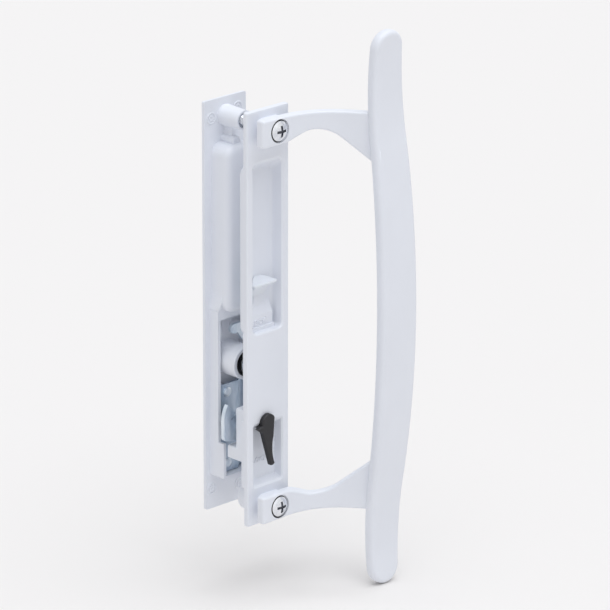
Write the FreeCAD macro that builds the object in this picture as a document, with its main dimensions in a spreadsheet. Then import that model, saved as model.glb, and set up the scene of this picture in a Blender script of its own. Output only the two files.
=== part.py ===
import FreeCAD, Part
import Sketcher

import math
import os

from FreeCAD import Placement, Rotation, Vector

# Sliding patio door handle. X runs across the plates, -Y is the room side, +Y the outside, +Z is up.
# The origin lies on the door's room-side face, midway between the two mounting screws.

SIZES = (
    ("door_thickness", 24.0, "door stile between the two plates"),
    ("hole_spacing", 168.3, "between the mounting screws"),
    ("plate_width", 24.2, "both plates"),
    ("plate_corner", 0.8, "corner radius of both plates"),
    ("inner_plate_height", 185.2, "room-side plate"),
    ("inner_plate_thick", 2.2, "room-side plate"),
    ("outer_plate_height", 184.0, "outer plate"),
    ("outer_plate_thick", 1.8, "outer plate"),
    ("plate_edge_round", 0.6, "outer edges of both plates"),
    ("wall", 1.5, "casting wall"),
    ("cup_half_width", 8.4, "pull cup opening"),
    ("cup_top", 69.6, "pull cup opening"),
    ("cup_bottom", -6.2, "pull cup opening"),
    ("cup_depth", 6.7, "pull cup, from the plate's front face"),
    ("cup_corner", 2.4, "pull cup opening"),
    ("cup_top_slope", 5.0, "how far its top wall slopes down to the floor"),
    ("cup_lip", 0.7, "chamfer round the cup and the lever recess"),
    ("cup_back_round", 2.6, "back edges of the cup"),
    ("stop_block_half", 6.5, "sloped block at the foot of the cup"),
    ("stop_block_front", 2.0, "front of that block"),
    ("stop_block_top", 5.3, "where its slope meets the cup floor"),
    ("stop_block_knee", 0.3, "where its slope ends"),
    ("stop_step_height", 1.6, "step at its foot"),
    ("stop_step_out", 1.2, "how far the step stands out"),
    ("web_half_width", 10.0, "boxes behind the room-side plate"),
    ("web_depth", 2.8, "low box between the cup and the lever recess"),
    ("recess_half_width", 8.2, "lever recess"),
    ("recess_top", -47.3, "lever recess"),
    ("recess_bottom", -75.2, "lever recess"),
    ("recess_depth", 4.6, "lever recess, from the front face"),
    ("recess_top_slope", 3.0, "how far its top wall slopes down to the floor"),
    ("recess_foot_slope", 1.5, "how far its foot slopes up to the floor"),
    ("bearing_half_width", 9.0, "block that carries the lever's shaft"),
    ("bearing_top", -41.5, "bearing block"),
    ("bearing_bottom", -65.6, "bearing block"),
    ("bearing_back", 8.1, "bearing block, from the door face"),
    ("ledge_top", -59.7, "stop ledge under the hook"),
    ("ledge_back", 13.4, "stop ledge"),
    ("ledge_right", 1.0, "stop ledge"),
    ("boss_radius", 6.3, "lower screw boss"),
    ("boss_back", 11.0, "lower screw boss"),
    ("boss_round", 1.4, "lower screw boss"),
    ("finger_half_width", 8.2, "finger cup on the outer plate, over its walls"),
    ("finger_top", 73.0, "finger cup, over its walls"),
    ("finger_bottom", -1.4, "finger cup, over its walls"),
    ("finger_depth", 10.5, "finger cup, towards the door"),
    ("finger_corner", 5.0, "finger cup"),
    ("finger_back_round", 3.4, "finger cup"),
    ("housing_half_width", 9.7, "lock housing, over its walls"),
    ("housing_bottom", -76.4, "lock housing, over its walls"),
    ("housing_top", 0.0, "lock housing, over its walls"),
    ("housing_open_top", -4.8, "upper end of its opening"),
    ("housing_depth", 8.7, "lock housing, towards the door"),
    ("housing_step", 3.3, "how much lower its top part is"),
    ("housing_step_z", -60.0, "where that part starts"),
    ("housing_corner", 1.2, "lock housing"),
    ("post_radius", 4.7, "upper screw post"),
    ("post_taper", 2.0, "degrees"),
    ("post_length", 12.0, "upper screw post"),
    ("post_mouth_radius", 3.5, "wide mouth of the post"),
    ("post_mouth_depth", 2.6, "wide mouth of the post"),
    ("pin_z", 73.8, "small cast pin under the post"),
    ("pin_radius", 2.3, "small cast pin"),
    ("pin_length", 6.8, "small cast pin"),
    ("rib_half", 0.9, "rib from the post to the cup"),
    ("rib_height", 5.0, "rib from the post to the cup"),
    ("screw_radius", 2.05, "mounting screws"),
    ("screw_clearance", 0.25, "plain holes round the screws"),
    ("thread_clearance", 0.05, "tapped holes round the screws"),
    ("screw_head_radius", 4.4, "mounting screws"),
    ("screw_dome_angle", 38.0, "degrees, slope of the dome at its rim"),
    ("screw_cross_depth", 1.6, "cross recess"),
    ("screw_rim", 0.6, "straight rim of the head"),
    ("screw_tip_gap", 3.5, "screw tip to the outer plate"),
    ("foot_counterbore_radius", 5.2, "ring round the screw head"),
    ("foot_counterbore_depth", 0.7, "ring round the screw head"),
    ("foot_front", 9.6, "foot front, from the door face"),
    ("foot_half_width", 9.9, "foot, to the left of the screw"),
    ("foot_half_height", 6.0, "foot"),
    ("arm_thick", 4.4, "arm and foot"),
    ("arm_bend_x", 4.5, "where the arm starts to curve"),
    ("arm_bend_radius", 30.0, "curved face of the arm, in plan"),
    ("arm_bend_angle", 54.0, "degrees"),
    ("arm_reach", 20.0, "straight end of the arm, ending inside the bar"),
    ("arm_outer_end", 88.6, "outer edge of the arm at the bar"),
    ("arm_thin_run", 19.5, "thinnest place of the arm, along its straight end's direction"),
    ("arm_thin_z", 81.7, "its inner edge there"),
    ("arm_rise_radius", 8.0, "inner edge, left of the thin place"),
    ("arm_rise_angle", 26.0, "degrees"),
    ("arm_fall_radius", 18.0, "inner edge, right of the thin place"),
    ("arm_fall_angle", 37.5, "degrees"),
    ("arm_flare_z", 64.5, "where the inner edge has reached the bar"),
    ("arm_knee_round", 4.0, "corners of the inner edge"),
    ("arm_edge_round", 0.9, "long edges of the arm"),
    ("foot_pad_half_x", 6.3, "pad between foot and plate"),
    ("foot_pad_half_z", 4.8, "pad between foot and plate"),
    ("bar_centre_x", 41.5, "grip bar"),
    ("bar_half_length", 124.4, "grip bar"),
    ("bar_thick", 5.2, "grip bar"),
    ("bar_half_width_mid", 10.3, "grip bar at half height"),
    ("bar_half_width_end", 8.0, "grip bar at its ends"),
    ("bar_end_z", 117.0, "where the round ends start"),
    ("bar_front_mid", 40.4, "grip bar front at half height"),
    ("bar_front_waist", 34.9, "where the bow turns back"),
    ("bar_waist_z", 74.0, "where the bow turns back"),
    ("bar_front_low", 32.4, "nearest the door"),
    ("bar_low_z", 99.0, "nearest the door"),
    ("bar_front_tip", 33.6, "at the tips"),
    ("bar_edge_round", 1.9, "long edges of the bar"),
    ("gap", 0.3, "clearance between moving pieces"),
    ("running_gap", 0.06, "shafts in their bores"),
    ("slide_half_width", 6.5, "thumb slide tab"),
    ("slide_front", -1.1, "front edge of the tab"),
    ("slide_nose_z", 13.9, "underside of the tab at its front"),
    ("slide_nose_thick", 1.2, "front edge of the tab"),
    ("slide_back_low", 9.1, "underside of the tab at the cup floor"),
    ("slide_back_high", 17.2, "top of the tab at the cup floor"),
    ("stem_half_width", 1.7, "stem through the cup floor"),
    ("stem_low", 12.9, "stem through the cup floor"),
    ("stem_high", 16.9, "stem through the cup floor"),
    ("slide_travel", 3.5, "thumb slide, downwards"),
    ("clip_thick", 0.4, "slide clip"),
    ("clip_half_width", 6.0, "slide clip"),
    ("clip_half_height", 7.0, "slide clip"),
    ("slide_bar_thick", 0.8, "slide bar"),
    ("slide_bar_half", 2.6, "slide bar"),
    ("slide_bar_x", 4.0, "lower part of the slide bar"),
    ("slide_bar_low", -35.0, "lower end of the slide bar"),
    ("slide_screw_radius", 1.1, "screw in the stem"),
    ("slide_screw_head", 2.2, "screw in the stem"),
    ("lever_x", -1.5, "lever shaft"),
    ("lever_z", -47.3, "lever shaft"),
    ("lever_hub", 4.3, "lever hub"),
    ("lever_front", 4.5, "lever front, from the door face"),
    ("lever_tail", 19.4, "lever tail, below the shaft"),
    ("lever_boss", 3.5, "round boss behind the lever's blade"),
    ("lever_round", 0.6, "front edge of the lever"),
    ("shaft_radius", 2.5, "lever shaft"),
    ("washer_radius", 3.5, "lever washer"),
    ("washer_thick", 0.5, "lever washer"),
    ("square_half", 1.7, "square end of the shaft"),
    ("crank_thick", 1.35, "drive arm"),
    ("crank_hub", 4.2, "drive arm"),
    ("crank_radius", 9.2, "shaft to drive pin"),
    ("crank_end", 2.3, "round end of the drive arm"),
    ("pivot_radius_out", 5.0, "shaft to hook pivot"),
    ("crank_mid_angle", 240.0, "degrees, direction from shaft to hook pivot"),
    ("crank_half_swing", 15.0, "degrees, half of the lever's swing"),
    ("drive_pin_radius", 1.0, "drive pin"),
    ("hook_thick", 2.0, "hook latch"),
    ("hook_front", 10.6, "hook latch, from the door face"),
    ("hook_reach", 9.7, "from the hook's pivot to its outer side"),
    ("hook_nose", 11.3, "from the hook's pivot up to the tip of its nose"),
    ("hook_hub", 5.2, "hook round its pivot"),
    ("pivot_radius", 1.7, "hook pivot"),
    ("pivot_collar", 2.9, "shoulder of the hook pivot"),
    ("pivot_head", 3.0, "head of the hook pivot"),
    ("pivot_head_thick", 0.6, "head of the hook pivot"),
    ("hook_washer_thick", 0.4, "washer behind the hook"),
    ("hook_washer_radius", 4.0, "washer behind the hook"),
    ("spring_wire", 0.35, "torsion spring, wire radius"),
    ("spring_turns", 4.0, "torsion spring"),
    ("case_front", 18.8, "lock case front, from the door face"),
    ("case_thick", 1.0, "lock case sheet"),
    ("case_top", -34.4, "lock case"),
    ("case_fold_x", 2.4, "fold of the lock case"),
    ("case_fold_drop", 2.4, "how far the sheet folds back"),
    ("case_screw_radius", 1.2, "case screws"),
    ("case_screw_head", 2.1, "case screws"),
    ("case_screw_low_z", -70.5, "lower case screw"),
    ("case_screw_high_z", -38.0, "upper case screw"),
    ("case_screw_x", -4.4, "upper case screw"),
    ("case_post_radius", 2.2, "cast posts under the case"),
    ("cylinder_z", -24.0, "key cylinder"),
    ("sleeve_radius", 7.4, "cast sleeve round the cylinder"),
    ("sleeve_end", 10.9, "sleeve's inner end, from the door face"),
    ("cylinder_radius", 5.2, "cylinder body"),
    ("cylinder_neck", 4.5, "cylinder body, inner end"),
    ("cylinder_end", 10.3, "cylinder body, inner end"),
    ("cylinder_flange", 8.0, "cylinder body, flange outside"),
    ("flange_thick", 1.3, "cylinder body, flange outside"),
    ("plug_radius", 3.7, "plug"),
    ("key_half_height", 2.8, "key slot"),
    ("key_half_width", 0.8, "key slot"),
    ("key_depth", 12.0, "key slot"),
    ("ring_radius", 5.9, "black clip ring"),
    ("ring_thick", 1.0, "black clip ring"),
    ("cam_thick", 0.8, "cam on the plug"),
    ("cam_radius", 4.1, "cam on the plug"),
    ("cam_pin_radius", 1.0, "pin of the cam"),
    ("cam_pin_offset", 3.0, "plug's axis to the pin of the cam"),
    ("cam_pin_height", 0.9, "pin of the cam"),
    ("cam_boss", 1.6, "round tenon of the plug in the cam"),
    ("bracket_front", 15.9, "cylinder bracket, from the door face"),
    ("bracket_thick", 1.5, "cylinder bracket"),
    ("bracket_tip_x", -2.6, "round tip of the bracket"),
    ("bracket_tip_z", -9.2, "round tip of the bracket"),
    ("bracket_tip_radius", 2.1, "round tip of the bracket"),
    ("bracket_post_x", 4.2, "post under the bracket"),
    ("bracket_post_z", -10.6, "post under the bracket"),
)

HALF_ROOT = math.sqrt(0.5)
doc = FreeCAD.newDocument("patio_door_handle")
sheet = doc.addObject("Spreadsheet::Sheet", "Sizes")


class Dim:
    """A number with the sheet expression that gives it."""

    def __init__(self, value, text):
        self.value = float(value)
        self.text = text

    def join(self, other, sign, value):
        """Make the result of one arithmetic step."""
        return Dim(value, "(%s %s %s)" % (self.text, sign, other.text))

    def __add__(self, other):
        other = as_dim(other)
        return self.join(other, "+", self.value + other.value)

    def __radd__(self, other):
        return as_dim(other) + self

    def __sub__(self, other):
        other = as_dim(other)
        return self.join(other, "-", self.value - other.value)

    def __rsub__(self, other):
        return as_dim(other) - self

    def __mul__(self, other):
        other = as_dim(other)
        return self.join(other, "*", self.value * other.value)

    def __rmul__(self, other):
        return as_dim(other) * self

    def __truediv__(self, other):
        other = as_dim(other)
        return self.join(other, "/", self.value / other.value)

    def __neg__(self):
        return Dim(-self.value, "(0 - %s)" % self.text)


def as_dim(number):
    """Turn a plain number into a Dim."""
    if isinstance(number, Dim):
        return number
    return Dim(number, "(%.9f)" % number)


def cosine(angle):
    """Cosine of an angle held in degrees."""
    return Dim(math.cos(math.radians(angle.value)), "cos(%s * 1deg)" % angle.text)


def sine(angle):
    """Sine of an angle held in degrees."""
    return Dim(math.sin(math.radians(angle.value)), "sin(%s * 1deg)" % angle.text)


class Sizes:
    """Every named size of the sheet, as a Dim."""


def fill_sheet():
    """Write the sizes into the sheet and return them by name."""
    named = Sizes()
    for row, (name, value, note) in enumerate(SIZES, start=1):
        sheet.set("A%d" % row, name)
        sheet.set("B%d" % row, repr(value))
        sheet.set("C%d" % row, note)
        sheet.setAlias("B%d" % row, name)
        setattr(named, name, Dim(value, "Sizes." + name))
    return named


def bind(item, prop, dim):
    """Set a property and tie it to the sheet."""
    item.setExpression(prop, as_dim(dim).text)


def new_body(label):
    """Start a PartDesign body."""
    body = doc.addObject("PartDesign::Body", label)
    body.Label = label
    return body


def new_sketch(body, name, role, offset=None):
    """Attach a sketch to one of the body's own origin planes, moved along its normal by offset."""
    sketch = body.newObject("Sketcher::SketchObject", name)
    plane = [item for item in body.Origin.OriginFeatures if item.Role == role][0]
    sketch.AttachmentSupport = [(plane, "")]
    sketch.MapMode = "FlatFace"
    if offset is not None:
        offset = as_dim(offset)
        sketch.AttachmentOffset = Placement(Vector(0, 0, offset.value), Rotation())
        bind(sketch, "AttachmentOffset.Base.z", offset)
    return sketch


def facing(body, name, y):
    """Sketch parallel to the door at depth y; its own X is +X and its own Y is +Z."""
    return new_sketch(body, name, "XZ_Plane", -as_dim(y))


def slanting(body, name, angle, distance):
    """Upright sketch turned to face left of the room by angle; its own X runs right and to the room."""
    sketch = new_sketch(body, name, "XZ_Plane")
    across = -distance * sine(angle)
    out = distance * cosine(angle)
    turn = Rotation(Vector(0, -1, 0), angle.value)
    sketch.AttachmentOffset = Placement(Vector(across.value, 0, out.value), turn)
    bind(sketch, "AttachmentOffset.Base.x", across)
    bind(sketch, "AttachmentOffset.Base.z", out)
    bind(sketch, "AttachmentOffset.Rotation.Angle", angle)
    return sketch


def fix_point(sketch, index, place, point):
    """Hold one sketch point at (x, y) from the sketch origin."""
    for kind, axis, dim in (("DistanceX", -2, point[0]), ("DistanceY", -1, point[1])):
        dim = as_dim(dim)
        if abs(dim.value) < 1e-9:
            sketch.addConstraint(Sketcher.Constraint("PointOnObject", index, place, axis))
        else:
            number = sketch.addConstraint(Sketcher.Constraint(kind, -1, 1, index, place, dim.value))
            bind(sketch, "Constraints[%d]" % number, dim)


def flat(point):
    """Plain vector of a sketch point."""
    return Vector(as_dim(point[0]).value, as_dim(point[1]).value, 0)


def circle_through(first, via, last):
    """Centre and radius of the circle through three points."""
    curve = Part.Arc(first, via, last).toShape().Curve
    return curve.Center, curve.Radius


def add_arc(sketch, first, via, last):
    """Add an arc held by a third point; return its index and its two end places."""
    ends = [flat(first), flat(last)]
    middle = flat(via)
    centre, radius = circle_through(ends[0], middle, ends[1])
    turn = (middle - ends[0]).cross(ends[1] - middle).z
    places = (1, 2)
    if turn < 0:
        ends.reverse()
        places = (2, 1)
    angles = [math.atan2(end.y - centre.y, end.x - centre.x) for end in ends]
    circle = Part.Circle(centre, Vector(0, 0, 1), radius)
    index = sketch.addGeometry(Part.ArcOfCircle(circle, angles[0], angles[1]), False)
    mark = sketch.addGeometry(Part.Point(middle), True)
    sketch.addConstraint(Sketcher.Constraint("PointOnObject", mark, 1, index))
    fix_point(sketch, mark, 1, via)
    return index, places


def draw(sketch, start, steps):
    """Draw a closed outline. A step is (end,) for a line or (via, end) for an arc."""
    corner = start
    sides = []
    for step in steps:
        end = step[-1]
        if len(step) == 1:
            index = sketch.addGeometry(Part.LineSegment(flat(corner), flat(end)), False)
            places = (1, 2)
        else:
            index, places = add_arc(sketch, corner, step[0], end)
        sides.append((index, places, end))
        corner = end
    for number, (index, places, end) in enumerate(sides):
        following = sides[(number + 1) % len(sides)]
        joint = Sketcher.Constraint("Coincident", index, places[1], following[0], following[1][0])
        sketch.addConstraint(joint)
        fix_point(sketch, index, places[1], end)


def draw_box(sketch, left, low, right, high, radius=None):
    """Draw a rectangle, with round corners where a radius is given."""
    left, low, right, high = (as_dim(side) for side in (left, low, right, high))
    if radius is None:
        corners = [(right, low), (right, high), (left, high), (left, low)]
        draw(sketch, corners[-1], [(corner,) for corner in corners])
        return
    short = radius * (1 - HALF_ROOT)
    steps = [
        ((right - radius, low),),
        ((right - short, low + short), (right, low + radius)),
        ((right, high - radius),),
        ((right - short, high - short), (right - radius, high)),
        ((left + radius, high),),
        ((left + short, high - short), (left, high - radius)),
        ((left, low + radius),),
        ((left + short, low + short), (left + radius, low)),
    ]
    draw(sketch, (left + radius, low), steps)


def draw_circle(sketch, x, y, radius):
    """Draw a circle held by its centre and radius."""
    circle = Part.Circle(flat((x, y)), Vector(0, 0, 1), radius.value)
    index = sketch.addGeometry(circle, False)
    fix_point(sketch, index, 3, (x, y))
    number = sketch.addConstraint(Sketcher.Constraint("Radius", index, radius.value))
    bind(sketch, "Constraints[%d]" % number, radius)


def boxed(body, name, y, sides, radius=None):
    """Sketch of a rectangle at depth y."""
    sketch = facing(body, name, y)
    draw_box(sketch, *sides, radius=radius)
    return sketch


def ringed(body, name, y, x, z, radius):
    """Sketch of a circle at depth y."""
    sketch = facing(body, name, y)
    draw_circle(sketch, x, z, radius)
    return sketch


def pad(body, sketch, length, outward=False, taper=None):
    """Pad a sketch: towards the room, or outward to +Y (+Z or +X on other planes is the room way)."""
    feature = body.newObject("PartDesign::Pad", sketch.Name + "_pad")
    feature.Profile = sketch
    feature.Reversed = outward
    bind(feature, "Length", length)
    if taper is not None:
        bind(feature, "TaperAngle", taper)
    sketch.Visibility = False
    doc.recompute()
    return feature


def pocket(body, sketch, length, roomward=False):
    """Cut a sketch into the body: outward to +Y, or towards the room. It must take material away."""
    before = body.Shape.Volume
    feature = body.newObject("PartDesign::Pocket", sketch.Name + "_cut")
    feature.Profile = sketch
    feature.Reversed = roomward
    bind(feature, "Length", length)
    sketch.Visibility = False
    doc.recompute()
    if not body.Shape.Volume < before:
        raise ValueError(sketch.Name + " cuts nothing")
    return feature


def chosen_edges(shape, test):
    """Names of the edges that pass a test."""
    return ["Edge%d" % number for number, edge in enumerate(shape.Edges, start=1) if test(edge)]


def soften(body, kind, name, size, test):
    """Add a Fillet or a Chamfer on the edges of the tip that pass a test."""
    tip = body.Tip
    edges = chosen_edges(tip.Shape, test)
    if not edges:
        raise ValueError(name + " finds no edge")
    feature = body.newObject("PartDesign::" + kind, name)
    feature.Base = (tip, edges)
    bind(feature, "Radius" if kind == "Fillet" else "Size", size)
    doc.recompute()
    return feature


def in_plane_y(y):
    """Test for edges that lie in the plane at depth y."""
    y = as_dim(y).value
    return lambda edge: abs(edge.BoundBox.YMin - y) < 1e-4 and abs(edge.BoundBox.YMax - y) < 1e-4


def within(edge, left, low, right, high):
    """Whether an edge lies inside a box seen from the room side."""
    box = edge.BoundBox
    slack = 1e-4
    inside_x = box.XMin > left.value - slack and box.XMax < right.value + slack
    return inside_x and box.ZMin > low.value - slack and box.ZMax < high.value + slack


def beside(half_width, depth):
    """Test for the edges between the side walls of a recess and its top and foot."""

    def chosen(edge):
        box = edge.BoundBox
        in_wall = box.XLength < 1e-4 and abs(abs(box.XMin) - half_width.value) < 1e-4
        return in_wall and box.YLength > depth.value / 2

    return chosen


def turned(label, outline, x, z):
    """Body turned about an axis along Y through (x, z). The outline is in (depth, radius)."""
    body = new_body(label)
    sketch = new_sketch(body, label + "_profile", "YZ_Plane")
    draw(sketch, outline[0], [(point,) for point in outline[1:] + outline[:1]])
    spin = body.newObject("PartDesign::Revolution", label + "_turn")
    spin.Profile = sketch
    spin.ReferenceAxis = (sketch, ["H_Axis"])
    spin.Angle = 360.0
    sketch.Visibility = False
    place(body, x, 0, z)
    doc.recompute()
    return body


def place(item, x, y, z):
    """Put an object at (x, y, z), tied to the sheet."""
    x, y, z = as_dim(x), as_dim(y), as_dim(z)
    item.Placement = Placement(Vector(x.value, y.value, z.value), Rotation())
    bind(item, "Placement.Base.x", x)
    bind(item, "Placement.Base.y", y)
    bind(item, "Placement.Base.z", z)


def polar(x, z, radius, angle):
    """Point at a radius and an angle in degrees from (x, z)."""
    angle = as_dim(angle)
    return (x + radius * cosine(angle), z + radius * sine(angle))


def make_interior_plate(s):
    """Room-side casting: plate, pull cup, lever recess, bearing block, stop ledge and screw boss."""
    body = new_body("interior_plate")
    half = s.plate_width / 2
    tall = s.inner_plate_height / 2
    front = -s.inner_plate_thick
    cup_floor = s.cup_depth - s.inner_plate_thick
    cup_back = cup_floor + s.wall
    recess_back = s.recess_depth - s.inner_plate_thick + s.wall
    plate = boxed(body, "plate", 0, (-half, -tall, half, tall), s.plate_corner)
    pad(body, plate, s.inner_plate_thick)
    soften(body, "Fillet", "plate_edge", s.plate_edge_round, in_plane_y(front))
    cup_side = s.cup_half_width + s.wall
    casing = new_sketch(body, "cup", "YZ_Plane", cup_side)
    draw(
        casing,
        (-s.wall / 2, s.cup_top + s.wall),
        [
            ((as_dim(0), s.cup_top + s.wall),),
            ((cup_back, s.cup_top + s.wall - s.cup_top_slope),),
            ((cup_back, s.cup_bottom - s.wall),),
            ((-s.wall / 2, s.cup_bottom - s.wall),),
            ((-s.wall / 2, s.cup_top + s.wall),),
        ],
    )
    pad(body, casing, cup_side * 2, outward=True)
    soften(body, "Fillet", "cup_casing_corners", s.cup_corner + s.wall, beside(cup_side, cup_back))
    soften(body, "Fillet", "cup_back_edge", s.cup_back_round, in_plane_y(cup_back))
    web_top = s.cup_bottom
    web_low = s.recess_bottom - s.wall
    web_sides = (-s.web_half_width, s.recess_top, s.web_half_width, web_top)
    pad(body, boxed(body, "web", 0, web_sides), s.web_depth, outward=True)
    recess_sides = (-s.web_half_width, web_low, s.web_half_width, s.recess_top + s.wall)
    pad(body, boxed(body, "recess_box", 0, recess_sides, s.plate_corner), recess_back, outward=True)
    block = (-s.bearing_half_width, s.bearing_bottom, s.bearing_half_width, s.bearing_top)
    pad(body, boxed(body, "bearing", 0, block, s.plate_corner), s.bearing_back, outward=True)
    ledge = (-s.bearing_half_width, s.bearing_bottom, s.ledge_right, s.ledge_top)
    pad(body, boxed(body, "ledge", 0, ledge, s.plate_corner), s.ledge_back, outward=True)
    low_screw = -s.hole_spacing / 2
    pad(body, ringed(body, "boss", 0, 0, low_screw, s.boss_radius), s.boss_back, outward=True)
    soften(body, "Fillet", "boss_end", s.boss_round, in_plane_y(s.boss_back))
    scoop = new_sketch(body, "cup_hollow", "YZ_Plane", s.cup_half_width)
    draw(
        scoop,
        (front, s.cup_top),
        [
            ((cup_floor, s.cup_top - s.cup_top_slope),),
            ((cup_floor, s.cup_bottom),),
            ((front, s.cup_bottom),),
            ((front, s.cup_top),),
        ],
    )
    pocket(body, scoop, s.cup_half_width * 2)
    soften(body, "Fillet", "cup_corners", s.cup_corner, beside(s.cup_half_width, s.cup_depth))
    sink = new_sketch(body, "recess", "YZ_Plane", s.recess_half_width)
    recess_floor = s.recess_depth - s.inner_plate_thick
    draw(
        sink,
        (front, s.recess_top),
        [
            ((recess_floor, s.recess_top - s.recess_top_slope),),
            ((recess_floor, s.recess_bottom + s.recess_foot_slope),),
            ((front, s.recess_bottom),),
            ((front, s.recess_top),),
        ],
    )
    pocket(body, sink, s.recess_half_width * 2)
    at_corner = beside(s.recess_half_width, s.recess_depth)
    soften(body, "Fillet", "recess_corners", s.plate_corner, at_corner)

    def on_lip(edge):
        """Edges of the cup and of the recess in the front face."""
        inner = within(edge, -s.cup_half_width, s.recess_bottom, s.cup_half_width, s.cup_top)
        return inner and in_plane_y(front)(edge)

    soften(body, "Chamfer", "lip", s.cup_lip, on_lip)
    seat = ringed(body, "lever_seat", front, s.lever_x, s.lever_z, s.lever_boss + s.gap)
    pocket(body, seat, s.recess_depth)

    def on_floor(edge):
        """Edges of the cup floor."""
        opening = (-s.cup_half_width, s.cup_bottom, s.cup_half_width, s.cup_top)
        return within(edge, *opening) and in_plane_y(cup_floor)(edge)

    soften(body, "Fillet", "cup_floor_edge", s.wall, on_floor)
    stop = new_sketch(body, "stop_block", "YZ_Plane", -s.stop_block_half)
    step_front = s.stop_block_front - s.stop_step_out
    step_top = s.cup_bottom + s.stop_step_height
    draw(
        stop,
        (cup_floor + s.wall / 2, s.cup_bottom - s.wall / 2),
        [
            ((cup_floor + s.wall / 2, s.stop_block_top),),
            ((cup_floor, s.stop_block_top),),
            ((s.stop_block_front, s.stop_block_knee),),
            ((s.stop_block_front, step_top),),
            ((step_front, step_top),),
            ((step_front, s.cup_bottom - s.wall / 2),),
            ((cup_floor + s.wall / 2, s.cup_bottom - s.wall / 2),),
        ],
    )
    pad(body, stop, s.stop_block_half * 2)
    slot = (
        -s.stem_half_width - s.gap,
        s.stem_low - s.slide_travel - s.gap,
        s.stem_half_width + s.gap,
        s.stem_high + s.gap,
    )
    pocket(body, boxed(body, "stem_slot", front, slot), s.cup_depth + s.wall * 2)
    bore = ringed(body, "shaft_bore", front, s.lever_x, s.lever_z, s.shaft_radius + s.running_gap)
    through = s.inner_plate_thick + s.ledge_back + s.wall
    pocket(body, bore, through)
    top_hole = s.screw_radius + s.screw_clearance
    pocket(body, ringed(body, "top_hole", front, 0, s.hole_spacing / 2, top_hole), through)
    low_hole = s.screw_radius + s.thread_clearance
    pocket(body, ringed(body, "low_hole", front, 0, low_screw, low_hole), through)
    return body


def make_exterior_plate(s):
    """Outer casting: plate, finger cup, lock housing, screw post, small pin and cylinder sleeve."""
    body = new_body("exterior_plate")
    half = s.plate_width / 2
    tall = s.outer_plate_height / 2
    inner = s.door_thickness
    outer = inner + s.outer_plate_thick
    plate = boxed(body, "outer_plate", inner, (-half, -tall, half, tall), s.plate_corner)
    pad(body, plate, s.outer_plate_thick, outward=True)
    soften(body, "Fillet", "outer_edge", s.plate_edge_round, in_plane_y(outer))
    box = (-s.housing_half_width, s.housing_bottom, s.housing_half_width, s.housing_top)
    pad(body, boxed(body, "housing", inner, box, s.housing_corner), s.housing_depth)
    hollow = (
        -s.housing_half_width + s.wall,
        s.housing_bottom + s.wall,
        s.housing_half_width - s.wall,
        s.housing_open_top,
    )
    front = inner - s.housing_depth
    pocket(body, boxed(body, "housing_hollow", front, hollow), s.housing_depth)
    step = (
        -s.housing_half_width - s.wall,
        s.housing_step_z,
        s.housing_half_width + s.wall,
        s.housing_top + s.wall,
    )
    pocket(body, boxed(body, "housing_step", front, step), s.housing_step)
    bulge = (-s.finger_half_width, s.finger_bottom, s.finger_half_width, s.finger_top)
    pad(body, boxed(body, "finger_cup", inner, bulge, s.finger_corner), s.finger_depth)
    soften(
        body, "Fillet", "finger_back", s.finger_back_round, in_plane_y(inner - s.finger_depth)
    )
    screw_z = s.hole_spacing / 2
    post = ringed(body, "post", inner, 0, screw_z, s.post_radius)
    pad(body, post, s.post_length, taper=-s.post_taper)
    rib = (-s.rib_half, s.finger_top - s.finger_corner, s.rib_half, screw_z)
    pad(body, boxed(body, "rib", inner, rib), s.rib_height)
    pad(body, ringed(body, "pin", inner, 0, s.pin_z, s.pin_radius), s.pin_length)
    sleeve = ringed(body, "sleeve", inner, 0, s.cylinder_z, s.sleeve_radius)
    pad(body, sleeve, inner - s.sleeve_end)
    post_end = inner - s.post_length
    mouth = ringed(body, "post_mouth", post_end, 0, screw_z, s.post_mouth_radius)
    pocket(body, mouth, s.post_mouth_depth)
    thread = s.screw_radius + s.thread_clearance
    pocket(body, ringed(body, "post_thread", post_end, 0, screw_z, thread), s.post_length)
    bore = ringed(
        body, "cylinder_bore", s.sleeve_end, 0, s.cylinder_z, s.cylinder_radius + s.running_gap
    )
    pocket(body, bore, outer - s.sleeve_end)
    scoop = tuple(
        side + s.wall if number < 2 else side - s.wall for number, side in enumerate(bulge)
    )
    scoop_corner = s.finger_corner - s.wall
    scoop_depth = s.finger_depth + s.outer_plate_thick - s.wall
    scooped = boxed(body, "finger_hollow", outer, scoop, scoop_corner)
    pocket(body, scooped, scoop_depth, roomward=True)

    def on_scoop_floor(edge):
        """Edges of the finger cup's floor."""
        return within(edge, *scoop) and in_plane_y(outer - scoop_depth)(edge)

    soften(body, "Fillet", "scoop_floor", s.finger_back_round - s.wall, on_scoop_floor)

    def on_scoop_lip(edge):
        """Edges of the finger cup in the outer face."""
        return within(edge, *scoop) and in_plane_y(outer)(edge)

    soften(body, "Chamfer", "scoop_lip", s.cup_lip, on_scoop_lip)
    case_back = s.case_front + s.case_thick
    posts = (
        ("high_case_post", s.case_screw_x, s.case_screw_high_z, case_back),
        ("low_case_post", s.case_screw_x, s.case_screw_low_z, case_back),
        ("bracket_post", s.bracket_post_x, s.bracket_post_z, s.bracket_front + s.bracket_thick),
    )
    for name, x, z, end in posts:
        pad(body, ringed(body, name, inner, x, z, s.case_post_radius), inner - end)
        hole = s.case_screw_radius + s.thread_clearance
        pocket(body, ringed(body, name + "_hole", end, x, z, hole), s.case_thick * 3)
    return body


def bar_face(s, shift):
    """Points of the bar's front, moved away from the room by shift, from the lower to the upper tip."""
    end = s.bar_half_length
    return [
        (shift - s.bar_front_tip, -end),
        (shift - s.bar_front_low, -s.bar_low_z),
        (shift - s.bar_front_waist, -s.bar_waist_z),
        (shift - s.bar_front_mid, as_dim(0)),
        (shift - s.bar_front_waist, s.bar_waist_z),
        (shift - s.bar_front_low, s.bar_low_z),
        (shift - s.bar_front_tip, end),
    ]


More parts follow.
